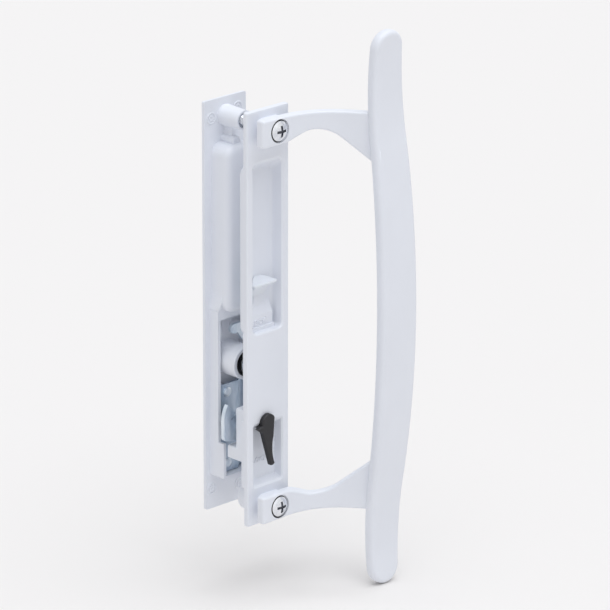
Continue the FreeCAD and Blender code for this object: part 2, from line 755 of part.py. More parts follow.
def make_bar(s):
    """Grip bar: a bowed strip, wider at half height, with round ends."""
    body = new_body("grip_bar_form")
    side = new_sketch(body, "bar_side", "YZ_Plane", s.bar_centre_x - s.bar_half_width_mid * 1.2)
    end = s.bar_half_length
    front = bar_face(s, as_dim(0))
    back = bar_face(s, s.bar_thick)
    steps = [
        (front[1], front[2]),
        (front[3], front[4]),
        (front[5], front[6]),
        (back[6],),
        (back[5], back[4]),
        (back[3], back[2]),
        (back[1], back[0]),
        (front[0],),
    ]
    draw(side, front[0], steps)
    pad(body, side, s.bar_half_width_mid * 2.4)
    outline = facing(body, "bar_outline", -s.bar_front_mid - s.bar_thick)
    left = s.bar_centre_x - s.bar_half_width_end
    right = s.bar_centre_x + s.bar_half_width_end
    centre = s.bar_centre_x
    draw(
        outline,
        (right, -s.bar_end_z),
        [
            ((centre + s.bar_half_width_mid, as_dim(0)), (right, s.bar_end_z)),
            ((centre, end), (left, s.bar_end_z)),
            ((centre - s.bar_half_width_mid, as_dim(0)), (left, -s.bar_end_z)),
            ((centre, -end), (right, -s.bar_end_z)),
        ],
    )
    margin = s.bar_thick
    draw_box(
        outline,
        centre - s.bar_half_width_mid * 2,
        -end - margin,
        centre + s.bar_half_width_mid * 2,
        end + margin,
    )
    pocket(body, outline, s.bar_front_mid + s.bar_thick)

    def along(edge):
        """Edges that run round the front and the back face."""
        first, last = edge.Vertexes[0].Point, edge.Vertexes[-1].Point
        return math.hypot(first.x - last.x, first.z - last.z) > 1.0

    soften(body, "Fillet", "bar_edges", s.bar_edge_round, along)
    return body


def draw_arm_plan(s, sketch):
    """Foot, bend and straight end of the arm, seen from above."""
    front = -s.foot_front
    back = front + s.arm_thick
    centre = (s.arm_bend_x, front - s.arm_bend_radius)
    start = as_dim(90) - s.arm_bend_angle
    half_way = as_dim(90) - s.arm_bend_angle / 2
    outer_radius = s.arm_bend_radius + s.arm_thick
    run_x, run_y = s.arm_reach * sine(start), s.arm_reach * cosine(start)
    inner_end = polar(*centre, s.arm_bend_radius, start)
    outer_end = polar(*centre, outer_radius, start)
    draw(
        sketch,
        (-s.foot_half_width, front),
        [
            ((s.arm_bend_x, front),),
            (polar(*centre, s.arm_bend_radius, half_way), inner_end),
            ((inner_end[0] + run_x, inner_end[1] - run_y),),
            ((outer_end[0] + run_x, outer_end[1] - run_y),),
            (outer_end,),
            (polar(*centre, outer_radius, half_way), (s.arm_bend_x, back)),
            ((-s.foot_half_width, back),),
            ((-s.foot_half_width, front),),
        ],
    )


def draw_arm_inner_edge(s, sketch, left, low, right):
    """What is cut away under the arm: level, rising, thin place, falling, level again."""
    bottom = s.arm_flare_z - s.arm_knee_round * 3
    rise, fall = s.arm_rise_angle, s.arm_fall_angle
    rise_centre = (s.arm_thin_run, s.arm_thin_z - s.arm_rise_radius)
    fall_centre = (s.arm_thin_run, s.arm_thin_z - s.arm_fall_radius)
    rise_start = polar(*rise_centre, s.arm_rise_radius, 90 + rise)
    fall_end = polar(*fall_centre, s.arm_fall_radius, 90 - fall)
    knee = rise_start[0] - (rise_start[1] - low) * cosine(rise) / sine(rise)
    flare = fall_end[0] + (fall_end[1] - s.arm_flare_z) * cosine(fall) / sine(fall)
    draw(
        sketch,
        (left, bottom),
        [
            ((left, low),),
            ((knee, low),),
            (rise_start,),
            (
                polar(*rise_centre, s.arm_rise_radius, 90 + rise / 2),
                (s.arm_thin_run, s.arm_thin_z),
            ),
            (polar(*fall_centre, s.arm_fall_radius, 90 - fall / 2), fall_end),
            ((flare, s.arm_flare_z),),
            ((right, s.arm_flare_z),),
            ((right, bottom),),
            ((left, bottom),),
        ],
    )
    return knee


def depth_in_arm(s, point):
    """How far a point lies behind the arm's room face, along foot, bend and straight end."""
    radius = s.arm_bend_radius.value
    across = point.x - s.arm_bend_x.value
    out = point.y + s.foot_front.value + radius
    turn = math.degrees(math.atan2(across, out))
    if turn < 0:
        return out - radius
    if turn < s.arm_bend_angle.value:
        return math.hypot(across, out) - radius
    end = math.radians(s.arm_bend_angle.value)
    return across * math.sin(end) + out * math.cos(end) - radius


def make_arm(s):
    """Upper foot and arm: a strip bent in plan, with its inner edge hollowed in elevation."""
    body = new_body("arm_form")
    screw_z = s.hole_spacing / 2
    high = screw_z + s.foot_half_height
    low = screw_z - s.foot_half_height
    back = s.arm_thick - s.foot_front
    base = s.arm_flare_z - s.wall
    plan = new_sketch(body, "arm_plan", "XY_Plane", base)
    draw_arm_plan(s, plan)
    pad(body, plan, high - base + s.wall)
    room_side = -s.bar_front_mid - s.bar_thick
    depth = s.bar_front_mid + s.bar_thick + s.wall
    left = -s.foot_half_width - s.wall
    right = s.bar_centre_x + s.bar_half_width_mid * 2
    under = slanting(body, "arm_inner_edge", s.arm_bend_angle, s.bar_centre_x / 2)
    knee = draw_arm_inner_edge(s, under, left, low, right)
    pocket(body, under, s.bar_centre_x + s.bar_front_mid)
    above = facing(body, "arm_outer_edge", room_side)
    draw(
        above,
        (left, high),
        [
            ((right, s.arm_outer_end),),
            ((right, high + s.wall * 2),),
            ((left, high + s.wall * 2),),
            ((left, high),),
        ],
    )
    pocket(body, above, depth)
    end = new_sketch(body, "arm_end", "YZ_Plane", right)
    middle = bar_face(s, s.bar_thick / 2)
    draw(
        end,
        middle[0],
        [
            (middle[1], middle[2]),
            (middle[3], middle[4]),
            (middle[5], middle[6]),
            ((room_side * 2, s.bar_half_length),),
            ((room_side * 2, -s.bar_half_length),),
            (middle[0],),
        ],
    )
    pocket(body, end, right)

    def at_foot(edge):
        """Upright edges at the free end of the foot."""
        box = edge.BoundBox
        upright = box.ZLength > s.foot_half_height.value
        return upright and abs(box.XMax + s.foot_half_width.value) < 1e-4

    soften(body, "Fillet", "foot_end", s.arm_edge_round * 1.4, at_foot)

    def at_knee(edge):
        """The edge across the arm at the corner between its foot and its rising inner edge."""
        angle = math.radians(s.arm_bend_angle.value)
        runs = [v.X * math.cos(angle) - v.Y * math.sin(angle) for v in edge.Vertexes]
        return all(abs(v.Z - low.value) < 1e-4 for v in edge.Vertexes) and all(
            abs(run - knee.value) < 1e-3 for run in runs
        )

    soften(body, "Fillet", "arm_knee", s.arm_knee_round, at_knee)
    limit = s.arm_edge_round.value * 0.5

    def long_edge(edge):
        """Edges along the faces towards and away from the door, not those inside the bar."""
        box = edge.BoundBox
        upright = box.ZLength > box.XLength + box.YLength and box.XLength < limit
        first, last = edge.Vertexes[0].Point, edge.Vertexes[-1].Point
        inside = max(first.y, last.y) < -s.bar_front_low.value + s.bar_thick.value / 2 + limit
        across = abs(depth_in_arm(s, first) - depth_in_arm(s, last)) > 1e-3
        return not across and not upright and not inside

    soften(body, "Fillet", "arm_edges", s.arm_edge_round, long_edge)
    sides = (
        -s.foot_pad_half_x,
        screw_z - s.foot_pad_half_z,
        s.foot_pad_half_x,
        screw_z + s.foot_pad_half_z,
    )
    footing = boxed(body, "foot_pad", back - s.wall, sides, s.cup_corner)
    pad(body, footing, -back - s.inner_plate_thick + s.wall, outward=True)
    return body


def make_tool(label, radius, start, length, z):
    """Cylinder along +Y from depth start, used to cut a screw hole."""
    tool = doc.addObject("Part::Cylinder", label)
    bind(tool, "Radius", radius)
    bind(tool, "Height", length)
    tool.Placement = Placement(Vector(0, 0, 0), Rotation(Vector(1, 0, 0), -90))
    bind(tool, "Placement.Base.y", start)
    bind(tool, "Placement.Base.z", z)
    return tool


def make_pull_handle(s):
    """One casting: the bar, both arms with their feet, and the two screw holes."""
    arm = make_arm(s)
    mirrored = doc.addObject("Part::Mirroring", "lower_arm_form")
    mirrored.Source = arm
    mirrored.Normal = Vector(0, 0, 1)
    joined = doc.addObject("Part::MultiFuse", "handle_form")
    joined.Shapes = [make_bar(s), arm, mirrored]
    joined.Refine = True
    tools = doc.addObject("Part::MultiFuse", "handle_holes")
    front = -s.foot_front
    hole = s.screw_radius + s.screw_clearance
    pieces = []
    for name, z in (("upper", s.hole_spacing / 2), ("lower", -s.hole_spacing / 2)):
        pieces.append(make_tool(name + "_hole_form", hole, front - s.wall, s.foot_front + s.wall, z))
        ring = s.foot_counterbore_radius
        depth = s.wall + s.foot_counterbore_depth
        pieces.append(make_tool(name + "_ring_form", ring, front - s.wall, depth, z))
    tools.Shapes = pieces
    handle = doc.addObject("Part::Cut", "pull_handle")
    handle.Base = joined
    handle.Tool = tools
    handle.Label = "pull_handle"
    doc.recompute()
    return handle


def make_mounting_screw(s, label, z, tip):
    """Domed screw with a cross recess, from the foot's counterbore to depth tip."""
    seat = -s.foot_front + s.foot_counterbore_depth
    rim = seat - s.screw_rim
    dome = s.screw_head_radius / sine(s.screw_dome_angle)
    top = rim - dome + dome * cosine(s.screw_dome_angle)
    half_dome = polar(top + dome, as_dim(0), dome, 180 - s.screw_dome_angle / 2)
    body = new_body(label)
    sketch = new_sketch(body, label + "_profile", "YZ_Plane")
    shoulder = (seat, s.screw_head_radius)
    point = s.screw_radius * 0.6
    draw(
        sketch,
        (top, as_dim(0)),
        [
            (half_dome, (rim, s.screw_head_radius)),
            (shoulder,),
            ((seat, s.screw_radius),),
            ((tip - point, s.screw_radius),),
            ((tip, point),),
            ((tip, as_dim(0)),),
            ((top, as_dim(0)),),
        ],
    )
    spin = body.newObject("PartDesign::Revolution", label + "_turn")
    spin.Profile = sketch
    spin.ReferenceAxis = (sketch, ["H_Axis"])
    spin.Angle = 360.0
    doc.recompute()
    cross = facing(body, label + "_cross", top)
    arm = s.screw_head_radius * 0.57
    web = s.screw_head_radius * 0.13
    corners = [
        (web, web), (web, arm), (-web, arm), (-web, web), (-arm, web), (-arm, -web),
        (-web, -web), (-web, -arm), (web, -arm), (web, -web), (arm, -web), (arm, web),
    ]
    draw(cross, corners[-1], [(corner,) for corner in corners])
    pocket(body, cross, s.screw_cross_depth)
    place(body, 0, 0, z)
    return body


def make_thumb_slide(s):
    """White tab: a wedge that stands out of the cup, with a stem through the cup floor."""
    body = new_body("thumb_slide")
    cup_floor = s.cup_depth - s.inner_plate_thick
    back = cup_floor - s.gap / 2
    nose_top = s.slide_nose_z + s.slide_nose_thick
    side = new_sketch(body, "tab_side", "YZ_Plane", -s.slide_half_width)
    middle = (s.slide_front + back) / 2
    draw(
        side,
        (s.slide_front, s.slide_nose_z),
        [
            (
                (middle + s.wall, (s.slide_nose_z + s.slide_back_low) / 2 + s.slide_nose_thick),
                (back, s.slide_back_low),
            ),
            ((back, s.slide_back_high),),
            ((middle, (nose_top + s.slide_back_high) / 2 - s.slide_nose_thick / 3),
             (s.slide_front, nose_top)),
            ((s.slide_front, s.slide_nose_z),),
        ],
    )
    pad(body, side, s.slide_half_width * 2)

    def on_nose(edge):
        """Long edges of the nose and the upright edges beside it."""
        box = edge.BoundBox
        return abs(box.YMax - s.slide_front.value) < 1e-4

    soften(body, "Fillet", "nose_edges", s.slide_nose_thick * 0.35, on_nose)
    stem = (-s.stem_half_width, s.stem_low, s.stem_half_width, s.stem_high)
    stem_end = cup_floor + s.wall + s.clip_thick + s.gap / 2
    pad(body, boxed(body, "stem", back - s.wall, stem), stem_end - back + s.wall, outward=True)
    middle_z = (s.stem_low + s.stem_high) / 2
    hole = s.slide_screw_radius + s.thread_clearance
    drilled = ringed(body, "stem_hole", stem_end, 0, middle_z, hole)
    pocket(body, drilled, s.wall * 3, roomward=True)
    return body


def make_slide_clip(s):
    """Spring plate that holds the slide against the back of the cup floor."""
    body = new_body("slide_clip")
    start = s.cup_depth - s.inner_plate_thick + s.wall + s.gap / 2
    middle = (s.stem_low + s.stem_high) / 2
    sketch = boxed(
        body,
        "clip",
        start,
        (-s.clip_half_width, middle - s.clip_half_height, s.clip_half_width,
         middle + s.clip_half_height),
        s.plate_corner,
    )
    fit = s.running_gap
    draw_box(
        sketch,
        -s.stem_half_width - fit,
        s.stem_low - fit,
        s.stem_half_width + fit,
        s.stem_high + fit,
    )
    pad(body, sketch, s.clip_thick, outward=True)
    return body


def make_slide_bar(s):
    """Zinc-plated strip that hangs from the stem and passes behind the plate."""
    body = new_body("slide_bar")
    start = s.cup_depth - s.inner_plate_thick + s.wall + s.gap / 2 + s.clip_thick
    half = s.slide_bar_half
    high = s.stem_high + s.wall
    shift = s.slide_bar_x
    joggle = s.stem_low - s.slide_bar_half * 2
    sketch = facing(body, "bar_strip", start)
    draw(
        sketch,
        (-half, joggle + half),
        [
            ((shift - half, joggle - half),),
            ((shift - half, s.slide_bar_low),),
            ((shift + half, s.slide_bar_low),),
            ((shift + half, joggle + half),),
            ((half, joggle + half * 2),),
            ((half, high),),
            ((-half, high),),
            ((-half, joggle + half),),
        ],
    )
    middle = (s.stem_low + s.stem_high) / 2
    draw_circle(sketch, as_dim(0), middle, s.slide_screw_radius + s.running_gap)
    pad(body, sketch, s.slide_bar_thick, outward=True)

    def at_low_end(edge):
        """Corners of the lower end."""
        box = edge.BoundBox
        return box.YLength > s.slide_bar_thick.value / 2 and box.ZMax < s.slide_bar_low.value + 0.01

    soften(body, "Fillet", "bar_strip_end", half * 0.6, at_low_end)
    return body


def make_slide_screw(s):
    """Small pan-head screw through the bar into the stem."""
    seat = (
        s.cup_depth - s.inner_plate_thick + s.wall + s.gap / 2 + s.clip_thick + s.slide_bar_thick
    )
    tip = seat - s.slide_bar_thick - s.wall * 2.5
    head = s.slide_screw_head
    outline = [
        (tip, as_dim(0)),
        (tip, s.slide_screw_radius),
        (seat, s.slide_screw_radius),
        (seat, head),
        (seat + head * 0.3, head),
        (seat + head * 0.5, head * 0.7),
        (seat + head * 0.5, as_dim(0)),
    ]
    return turned("slide_screw", outline, 0, (s.stem_low + s.stem_high) / 2)


def make_thumb_lever(s):
    """Black lever: a blade over the plate with pointer and tail, a round hub and a square end."""
    body = new_body("thumb_lever")
    x, z = s.lever_x, s.lever_z
    hub = s.lever_hub
    front = -s.lever_front
    blade_back = -s.inner_plate_thick - s.gap
    hub_back = s.recess_depth - s.inner_plate_thick - s.washer_thick - s.gap / 2
    tail = z - s.lever_tail
    sketch = facing(body, "lever_outline", blade_back)
    draw(
        sketch,
        (x - hub * 0.86, z - hub * 0.05),
        [
            ((x - hub * 0.17, z + hub), (x + hub * 0.81, z + hub * 0.54)),
            ((x + hub * 0.66, z - hub * 1.4),),
            ((x + hub * 0.5, z - hub * 3.0), (x + hub * 0.8, tail + hub * 0.2)),
            ((x + hub * 0.55, tail), (x + hub * 0.22, tail + hub * 0.06)),
            ((x - hub * 0.87, z - hub * 0.8),),
            ((x - hub * 1.49, z - hub * 0.31),),
            ((x - hub * 0.86, z - hub * 0.05),),
        ],
    )
    pad(body, sketch, blade_back - front)
    soften(body, "Fillet", "lever_front_edge", s.lever_round, in_plane_y(front))
    pad(body, ringed(body, "hub", blade_back, x, z, s.lever_boss), hub_back - blade_back, outward=True)
    shaft_end = s.bearing_back + s.gap / 2
    pad(body, ringed(body, "shaft", hub_back, x, z, s.shaft_radius), shaft_end - hub_back, outward=True)
    half = s.square_half
    square = boxed(body, "square", shaft_end, (x - half, z - half, x + half, z + half))
    pad(body, square, s.crank_thick, outward=True)
    return body


def make_lever_washer(s):
    """Flat washer between the lever and the recess floor."""
    body = new_body("lever_washer")
    floor = s.recess_depth - s.inner_plate_thick
    sketch = ringed(body, "washer", floor, s.lever_x, s.lever_z, s.washer_radius)
    draw_circle(sketch, s.lever_x, s.lever_z, s.shaft_radius + s.screw_clearance)
    pad(body, sketch, s.washer_thick)
    return body


def crank_points(s):
    """Hook pivot, and drive pin at rest, seen from the room side."""
    pivot = polar(s.lever_x, s.lever_z, s.pivot_radius_out, s.crank_mid_angle)
    rest_angle = s.crank_mid_angle + s.crank_half_swing
    pin = polar(s.lever_x, s.lever_z, s.crank_radius, rest_angle)
    return pivot, pin, rest_angle


def make_drive_arm(s):
    """Crank on the lever's square end: a round hub with a tapered arm."""
    body = new_body("drive_arm")
    x, z = s.lever_x, s.lever_z
    pin, angle = crank_points(s)[1:]
    start = s.bearing_back + s.gap / 2
    side = angle - 90
    other = angle + 90
    hub, end = s.crank_hub, s.crank_end
    sketch = facing(body, "arm_outline", start)
    draw(
        sketch,
        polar(x, z, hub, side),
        [
            (polar(pin[0], pin[1], end, side),),
            (polar(pin[0], pin[1], end, angle), polar(pin[0], pin[1], end, other)),
            (polar(x, z, hub, other),),
            (polar(x, z, hub, angle + 180), polar(x, z, hub, side)),
        ],
    )
    half = s.square_half + s.running_gap
    draw_box(sketch, x - half, z - half, x + half, z + half)
    draw_circle(sketch, pin[0], pin[1], s.drive_pin_radius + s.running_gap / 2)
    pad(body, sketch, s.crank_thick, outward=True)
    return body


def make_drive_pin(s):
    """Straight pin pressed in the drive arm, reaching through the hook's slot."""
    pin = crank_points(s)[1]
    start = s.bearing_back + s.gap / 2
    tip = s.hook_front + s.hook_thick
    radius = s.drive_pin_radius
    bevel = radius * 0.25
    outline = [
        (start, as_dim(0)),
        (start, radius),
        (tip - bevel, radius),
        (tip, radius - bevel),
        (tip, as_dim(0)),
    ]
    return turned("drive_pin", outline, *pin)


def make_hook_latch(s):
    """Stamped hook: upturned nose, throat notch, hub on the pivot, slot for the drive pin."""
    body = new_body("hook_latch")
    pivot = crank_points(s)[0]
    px, pz = pivot
    hub, reach, nose = s.hook_hub, s.hook_reach, s.hook_nose
    mid = s.crank_radius - s.pivot_radius_out
    slot_low = s.crank_radius * sine(s.crank_half_swing)
    slot_side = s.crank_radius * cosine(s.crank_half_swing) - s.pivot_radius_out
    far = Dim(
        math.hypot(slot_low.value, slot_side.value),
        "sqrt(%s * %s + %s * %s)" % (slot_low.text, slot_low.text, slot_side.text, slot_side.text),
    )
    tail = far + s.drive_pin_radius + s.wall * 0.85
    sketch = facing(body, "hook_outline", s.hook_front)
    draw(
        sketch,
        (px - reach * 0.77, pz + nose),
        [
            ((px - reach * 0.95, pz + nose * 0.67), (px - reach, pz + nose * 0.28)),
            ((px - reach * 0.99, pz - nose * 0.27),),
            ((px - reach * 0.95, pz - nose * 0.39), (px - reach * 0.82, pz - nose * 0.45)),
            ((px - reach * 0.36, pz - nose * 0.53),),
            ((px, pz - tail), (px + hub * 0.62, pz - hub * 0.78)),
            ((px + hub, pz), (px + hub * 0.2, pz + hub * 0.98)),
            ((px - reach * 0.23, pz + nose * 0.5),),
            ((px - reach * 0.51, pz + nose * 0.35),),
            ((px - reach * 0.58, pz + nose * 0.42),),
            ((px - reach * 0.3, pz + nose * 0.59),),
            ((px - reach * 0.77, pz + nose),),
        ],
    )
    draw_circle(sketch, px, pz, s.pivot_radius + s.running_gap)
    # The slot runs along the line from the hook's pivot to the drive pin at rest.
    pin_angle = Dim(
        math.degrees(math.atan2(slot_low.value, slot_side.value)),
        "atan(%s / %s) / 1deg" % (slot_low.text, slot_side.text),
    )
    along = s.crank_mid_angle + pin_angle
    half = s.drive_pin_radius + s.running_gap * 1.6
    near_end = polar(px, pz, mid - s.running_gap, along)
    far_end = polar(px, pz, far + s.running_gap, along)
    side, other = along - 90, along + 90
    draw(
        sketch,
        polar(near_end[0], near_end[1], half, side),
        [
            (polar(far_end[0], far_end[1], half, side),),
            (
                polar(far_end[0], far_end[1], half, along),
                polar(far_end[0], far_end[1], half, other),
            ),
            (polar(near_end[0], near_end[1], half, other),),
            (
                polar(near_end[0], near_end[1], half, along + 180),
                polar(near_end[0], near_end[1], half, side),
            ),
        ],
    )
    pad(body, sketch, s.hook_thick, outward=True)
    return body


def make_hook_pivot(s):
    """Shouldered rivet from the lock case to the hook."""
    px, pz = crank_points(s)[0]
    hook_back = s.hook_front + s.hook_thick
    shoulder = hook_back + s.gap / 3 + s.hook_washer_thick
    head_seat = s.hook_front - s.gap / 3
    head_front = head_seat - s.pivot_head_thick
    case_back = s.case_front + s.case_thick
    tail = case_back + s.pivot_head_thick
    outline = [
        (head_front, as_dim(0)),
        (head_front, s.pivot_radius),
        (head_front + s.pivot_head_thick * 0.5, s.pivot_head),
        (head_seat, s.pivot_head),
        (head_seat, s.pivot_radius),
        (shoulder, s.pivot_radius),
        (shoulder, s.pivot_collar),
        (s.case_front, s.pivot_collar),
        (s.case_front, s.pivot_radius),
        (case_back, s.pivot_radius),
        (case_back, s.pivot_radius * 1.5),
        (tail, s.pivot_radius * 1.3),
        (tail, as_dim(0)),
    ]
    return turned("hook_pivot", outline, px, pz)


def make_hook_washer(s):
    """Flat washer between the hook and the shoulder of its pivot."""
    body = new_body("hook_washer")
    px, pz = crank_points(s)[0]
    start = s.hook_front + s.hook_thick + s.gap / 3
    sketch = ringed(body, "hook_washer_ring", start, px, pz, s.hook_washer_radius)
    draw_circle(sketch, px, pz, s.pivot_radius + s.running_gap)
    pad(body, sketch, s.hook_washer_thick, outward=True)
    return body


def make_hook_spring(s):
    """Torsion spring round the shoulder of the pivot, with a short straight leg at each end."""
    px, pz = crank_points(s)[0]
    radius = s.pivot_collar + s.spring_wire + s.gap
    start = s.hook_front + s.hook_thick + s.gap / 3 + s.hook_washer_thick + s.spring_wire + s.gap / 3
    end = s.case_front - s.spring_wire - s.gap / 3
    pitch = (end - start) / s.spring_turns
    helix = Part.makeHelix(pitch.value, (end - start).value, radius.value)
    leg = radius.value * 1.3
    first = helix.Edges[0].firstVertex().Point
    last = helix.Edges[-1].lastVertex().Point
    head = Part.makeLine(first + Vector(0, -leg, 0), first)
    tail = Part.makeLine(last, last + Vector(0, leg, 0))
    path = Part.Wire([head] + helix.Edges + [tail])
    ring = Part.makeCircle(s.spring_wire.value, first + Vector(0, -leg, 0), Vector(0, 1, 0))
    coil = Part.Wire([ring])
    spring = doc.addObject("Part::Feature", "hook_spring")
    spring.Label = "hook_spring"
    spring.Shape = path.makePipeShell([coil], True, True)
    turn = Rotation(Vector(1, 0, 0), -90)
    spring.Placement = Placement(Vector(px.value, start.value, pz.value), turn)
    return spring


def make_lock_case(s):
    """Zinc-plated sheet that closes the lock housing, folded back along its right side."""
    body = new_body("lock_case")
    inside = s.housing_half_width - s.wall - s.gap
    low = s.housing_bottom + s.wall + s.gap
    front = s.case_front
    back = front + s.case_thick
    plan = new_sketch(body, "case_section", "XY_Plane", low)
    fold = s.case_fold_x
    drop = s.case_fold_drop
    draw(
        plan,
        (-inside, front),
        [
            ((fold, front),),
            ((fold + drop, front + drop),),
            ((inside, front + drop),),
            ((inside, back + drop),),
            ((fold + drop - s.case_thick * 0.41, back + drop),),
            ((fold - s.case_thick * 0.41, back),),
            ((-inside, back),),
            ((-inside, front),),
        ],
    )
    pad(body, plan, s.case_top - low)
    px, pz = crank_points(s)[0]
    pivot_hole = s.pivot_radius + s.running_gap / 2
    depth = s.case_thick * 2
    pocket(body, ringed(body, "case_pivot_hole", front, px, pz, pivot_hole), depth)
    for number, z in enumerate((s.case_screw_high_z, s.case_screw_low_z)):
        hole = ringed(
            body,
            "case_hole_%d" % number,
            front,
            s.case_screw_x,
            z,
            s.case_screw_radius + s.thread_clearance,
        )
        pocket(body, hole, depth)
    return body


def make_small_screw(s, label, x, z, seat):
    """Small pan-head screw that stands on a sheet at depth seat and reaches its post."""
    head = s.case_screw_head
    tip = seat + s.case_thick * 3.4
    outline = [
        (seat - head * 0.5, as_dim(0)),
        (seat - head * 0.5, head * 0.7),
        (seat - head * 0.3, head),
        (seat, head),
        (seat, s.case_screw_radius),
        (tip, s.case_screw_radius),
        (tip, as_dim(0)),
    ]
    return turned(label, outline, x, z)


def make_case_screws(s):
    """The two screws of the lock case, as one group."""
    upper = make_small_screw(s, "upper_case_screw", s.case_screw_x, s.case_screw_high_z, s.case_front)
    lower = make_small_screw(s, "lower_case_screw", s.case_screw_x, s.case_screw_low_z, s.case_front)
    group = doc.addObject("Part::Compound", "case_screws")
    group.Links = [upper, lower]
    group.Label = "case_screws"
    return group


def make_cylinder_body(s):
    """Cylinder body: flange outside, barrel in the sleeve, grooved neck inside."""
    outer = s.door_thickness + s.outer_plate_thick
    bore = s.plug_radius + s.running_gap
    outline = [
        (s.cylinder_end, bore),
        (s.cylinder_end, s.cylinder_neck),
        (s.sleeve_end, s.cylinder_neck),
        (s.sleeve_end, s.cylinder_radius),
        (outer, s.cylinder_radius),
        (outer, s.cylinder_flange),
        (outer + s.flange_thick * 0.5, s.cylinder_flange),
        (outer + s.flange_thick, s.cylinder_flange * 0.88),
        (outer + s.flange_thick, bore),
    ]
    return turned("cylinder_body", outline, 0, s.cylinder_z)


def make_cylinder_plug(s):
    """Turning plug with its key slot and the tenon that carries the cam."""
    outer = s.door_thickness + s.outer_plate_thick + s.flange_thick
    tenon_end = s.cylinder_end - s.cam_thick - s.running_gap
    outline = [
        (tenon_end, as_dim(0)),
        (tenon_end, s.cam_boss),
        (s.cylinder_end, s.cam_boss),
        (s.cylinder_end, s.plug_radius),
        (outer - s.running_gap, s.plug_radius),
        (outer + s.running_gap, s.plug_radius * 0.94),
        (outer + s.running_gap, as_dim(0)),
    ]
    body = turned("cylinder_plug", outline, 0, s.cylinder_z)
    sides = (-s.key_half_width, -s.key_half_height, s.key_half_width, s.key_half_height)
    slot = boxed(body, "key_slot", outer + s.running_gap, sides)
    pocket(body, slot, s.key_depth, roomward=True)
    return body


def make_cylinder_clip(s):
    """Black open ring on the neck of the cylinder body, against the sleeve's end."""
    body = new_body("cylinder_clip")
    start = s.sleeve_end - s.ring_thick
    fit = s.cylinder_neck + s.running_gap / 2
    sketch = ringed(body, "ring_outline", start, 0, s.cylinder_z, s.ring_radius)
    draw_circle(sketch, as_dim(0), s.cylinder_z, fit)
    pad(body, sketch, s.ring_thick, outward=True)
    gap = boxed(
        body,
        "ring_gap",
        start,
        (as_dim(0), s.cylinder_z - s.wall, s.ring_radius + s.wall, s.cylinder_z + s.wall),
    )
    pocket(body, gap, s.ring_thick)
    return body


def make_cylinder_cam(s):
    """Cam disc on the plug's tenon, with its eccentric pin towards the slide bar."""
    body = new_body("cylinder_cam")
    start = s.cylinder_end - s.cam_thick - s.running_gap / 2
    sketch = ringed(body, "cam_disc", start, 0, s.cylinder_z, s.cam_radius)
    draw_circle(sketch, 0, s.cylinder_z, s.cam_boss + s.running_gap / 2)
    pad(body, sketch, s.cam_thick, outward=True)
    pin = ringed(body, "cam_pin", start, -s.cam_pin_offset, s.cylinder_z, s.cam_pin_radius)
    pad(body, pin, s.cam_pin_height)
    return body


def make_cylinder_bracket(s):
    """Round-ended zinc-plated bracket above the cylinder, hollowed to clear the sleeve."""
    body = new_body("cylinder_bracket")
    start = s.bracket_front
    tip_x, tip_z = s.bracket_tip_x, s.bracket_tip_z
    r = s.bracket_tip_radius
    inside = s.housing_half_width - s.wall - s.gap
    clear = s.sleeve_radius + s.gap
    low = s.cylinder_z + clear + s.gap
    sketch = facing(body, "bracket_outline", start)
    draw(
        sketch,
        (tip_x, tip_z - r),
        [
            ((tip_x - r, tip_z), (tip_x, tip_z + r)),
            ((inside - r, tip_z + r),),
            ((inside, tip_z),),
            ((inside, low + r / 2),),
            ((s.bracket_post_x - r, low + r / 2),),
            ((tip_x + r, tip_z - r),),
            ((tip_x, tip_z - r),),
        ],
    )
    pad(body, sketch, s.bracket_thick, outward=True)
    hole = s.case_screw_radius + s.thread_clearance
    drilled = ringed(body, "bracket_hole", start, s.bracket_post_x, s.bracket_post_z, hole)
    pocket(body, drilled, s.bracket_thick)
    return body


def make_parts(s):
    """Every node of the handle, in the order of assembly."""
    parts = [
        make_exterior_plate(s),
        make_cylinder_body(s),
        make_cylinder_plug(s),
        make_cylinder_clip(s),
        make_cylinder_cam(s),
        make_cylinder_bracket(s),
        make_small_screw(
            s, "bracket_screw", s.bracket_post_x, s.bracket_post_z, s.bracket_front
        ),
        make_lock_case(s),
        make_case_screws(s),
        make_hook_pivot(s),
        make_hook_washer(s),
        make_hook_spring(s),
        make_hook_latch(s),
        make_interior_plate(s),
        make_thumb_slide(s),
        make_slide_clip(s),
        make_slide_bar(s),
        make_slide_screw(s),
        make_lever_washer(s),
        make_thumb_lever(s),
        make_drive_arm(s),
        make_drive_pin(s),
        make_pull_handle(s),
    ]
    upper_tip = s.door_thickness - s.screw_tip_gap
    lower_tip = s.boss_back - s.boss_round / 2
    half = s.hole_spacing / 2
    parts.append(make_mounting_screw(s, "upper_mounting_screw", half, upper_tip))
    parts.append(make_mounting_screw(s, "lower_mounting_screw", -half, lower_tip))
    return parts


def check_document(parts):
    """Stop where an object failed or a part's solid is missing or broken."""
    for item in doc.Objects:
        if "Invalid" in item.State or "Error" in item.State:
            raise ValueError("%s: %s" % (item.Name, item.State))
    for part in parts:
        shape = part.Shape
        if shape.isNull() or not shape.isValid() or not shape.Solids:
            raise ValueError(part.Label + " has no valid solid")


def write_parts(parts):
    """Write one STEP file for each part."""
    os.makedirs("parts", exist_ok=True)
    for part in parts:
        part.Shape.exportStep(os.path.join("parts", part.Label + ".step"))
        box = part.Shape.BoundBox
        size = "%.1f x %.1f x %.1f" % (box.XLength, box.YLength, box.ZLength)
        print("%-22s %d solid(s), %s mm" % (part.Label, len(part.Shape.Solids), size))


sizes = fill_sheet()
doc.recompute()
built = make_parts(sizes)
doc.recompute()
check_document(built)
write_parts(built)
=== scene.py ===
"""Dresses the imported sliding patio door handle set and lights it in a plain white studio."""

import logging
import math
from dataclasses import dataclass, field
from enum import Enum

import bmesh
import bpy
from mathutils import Matrix, Vector


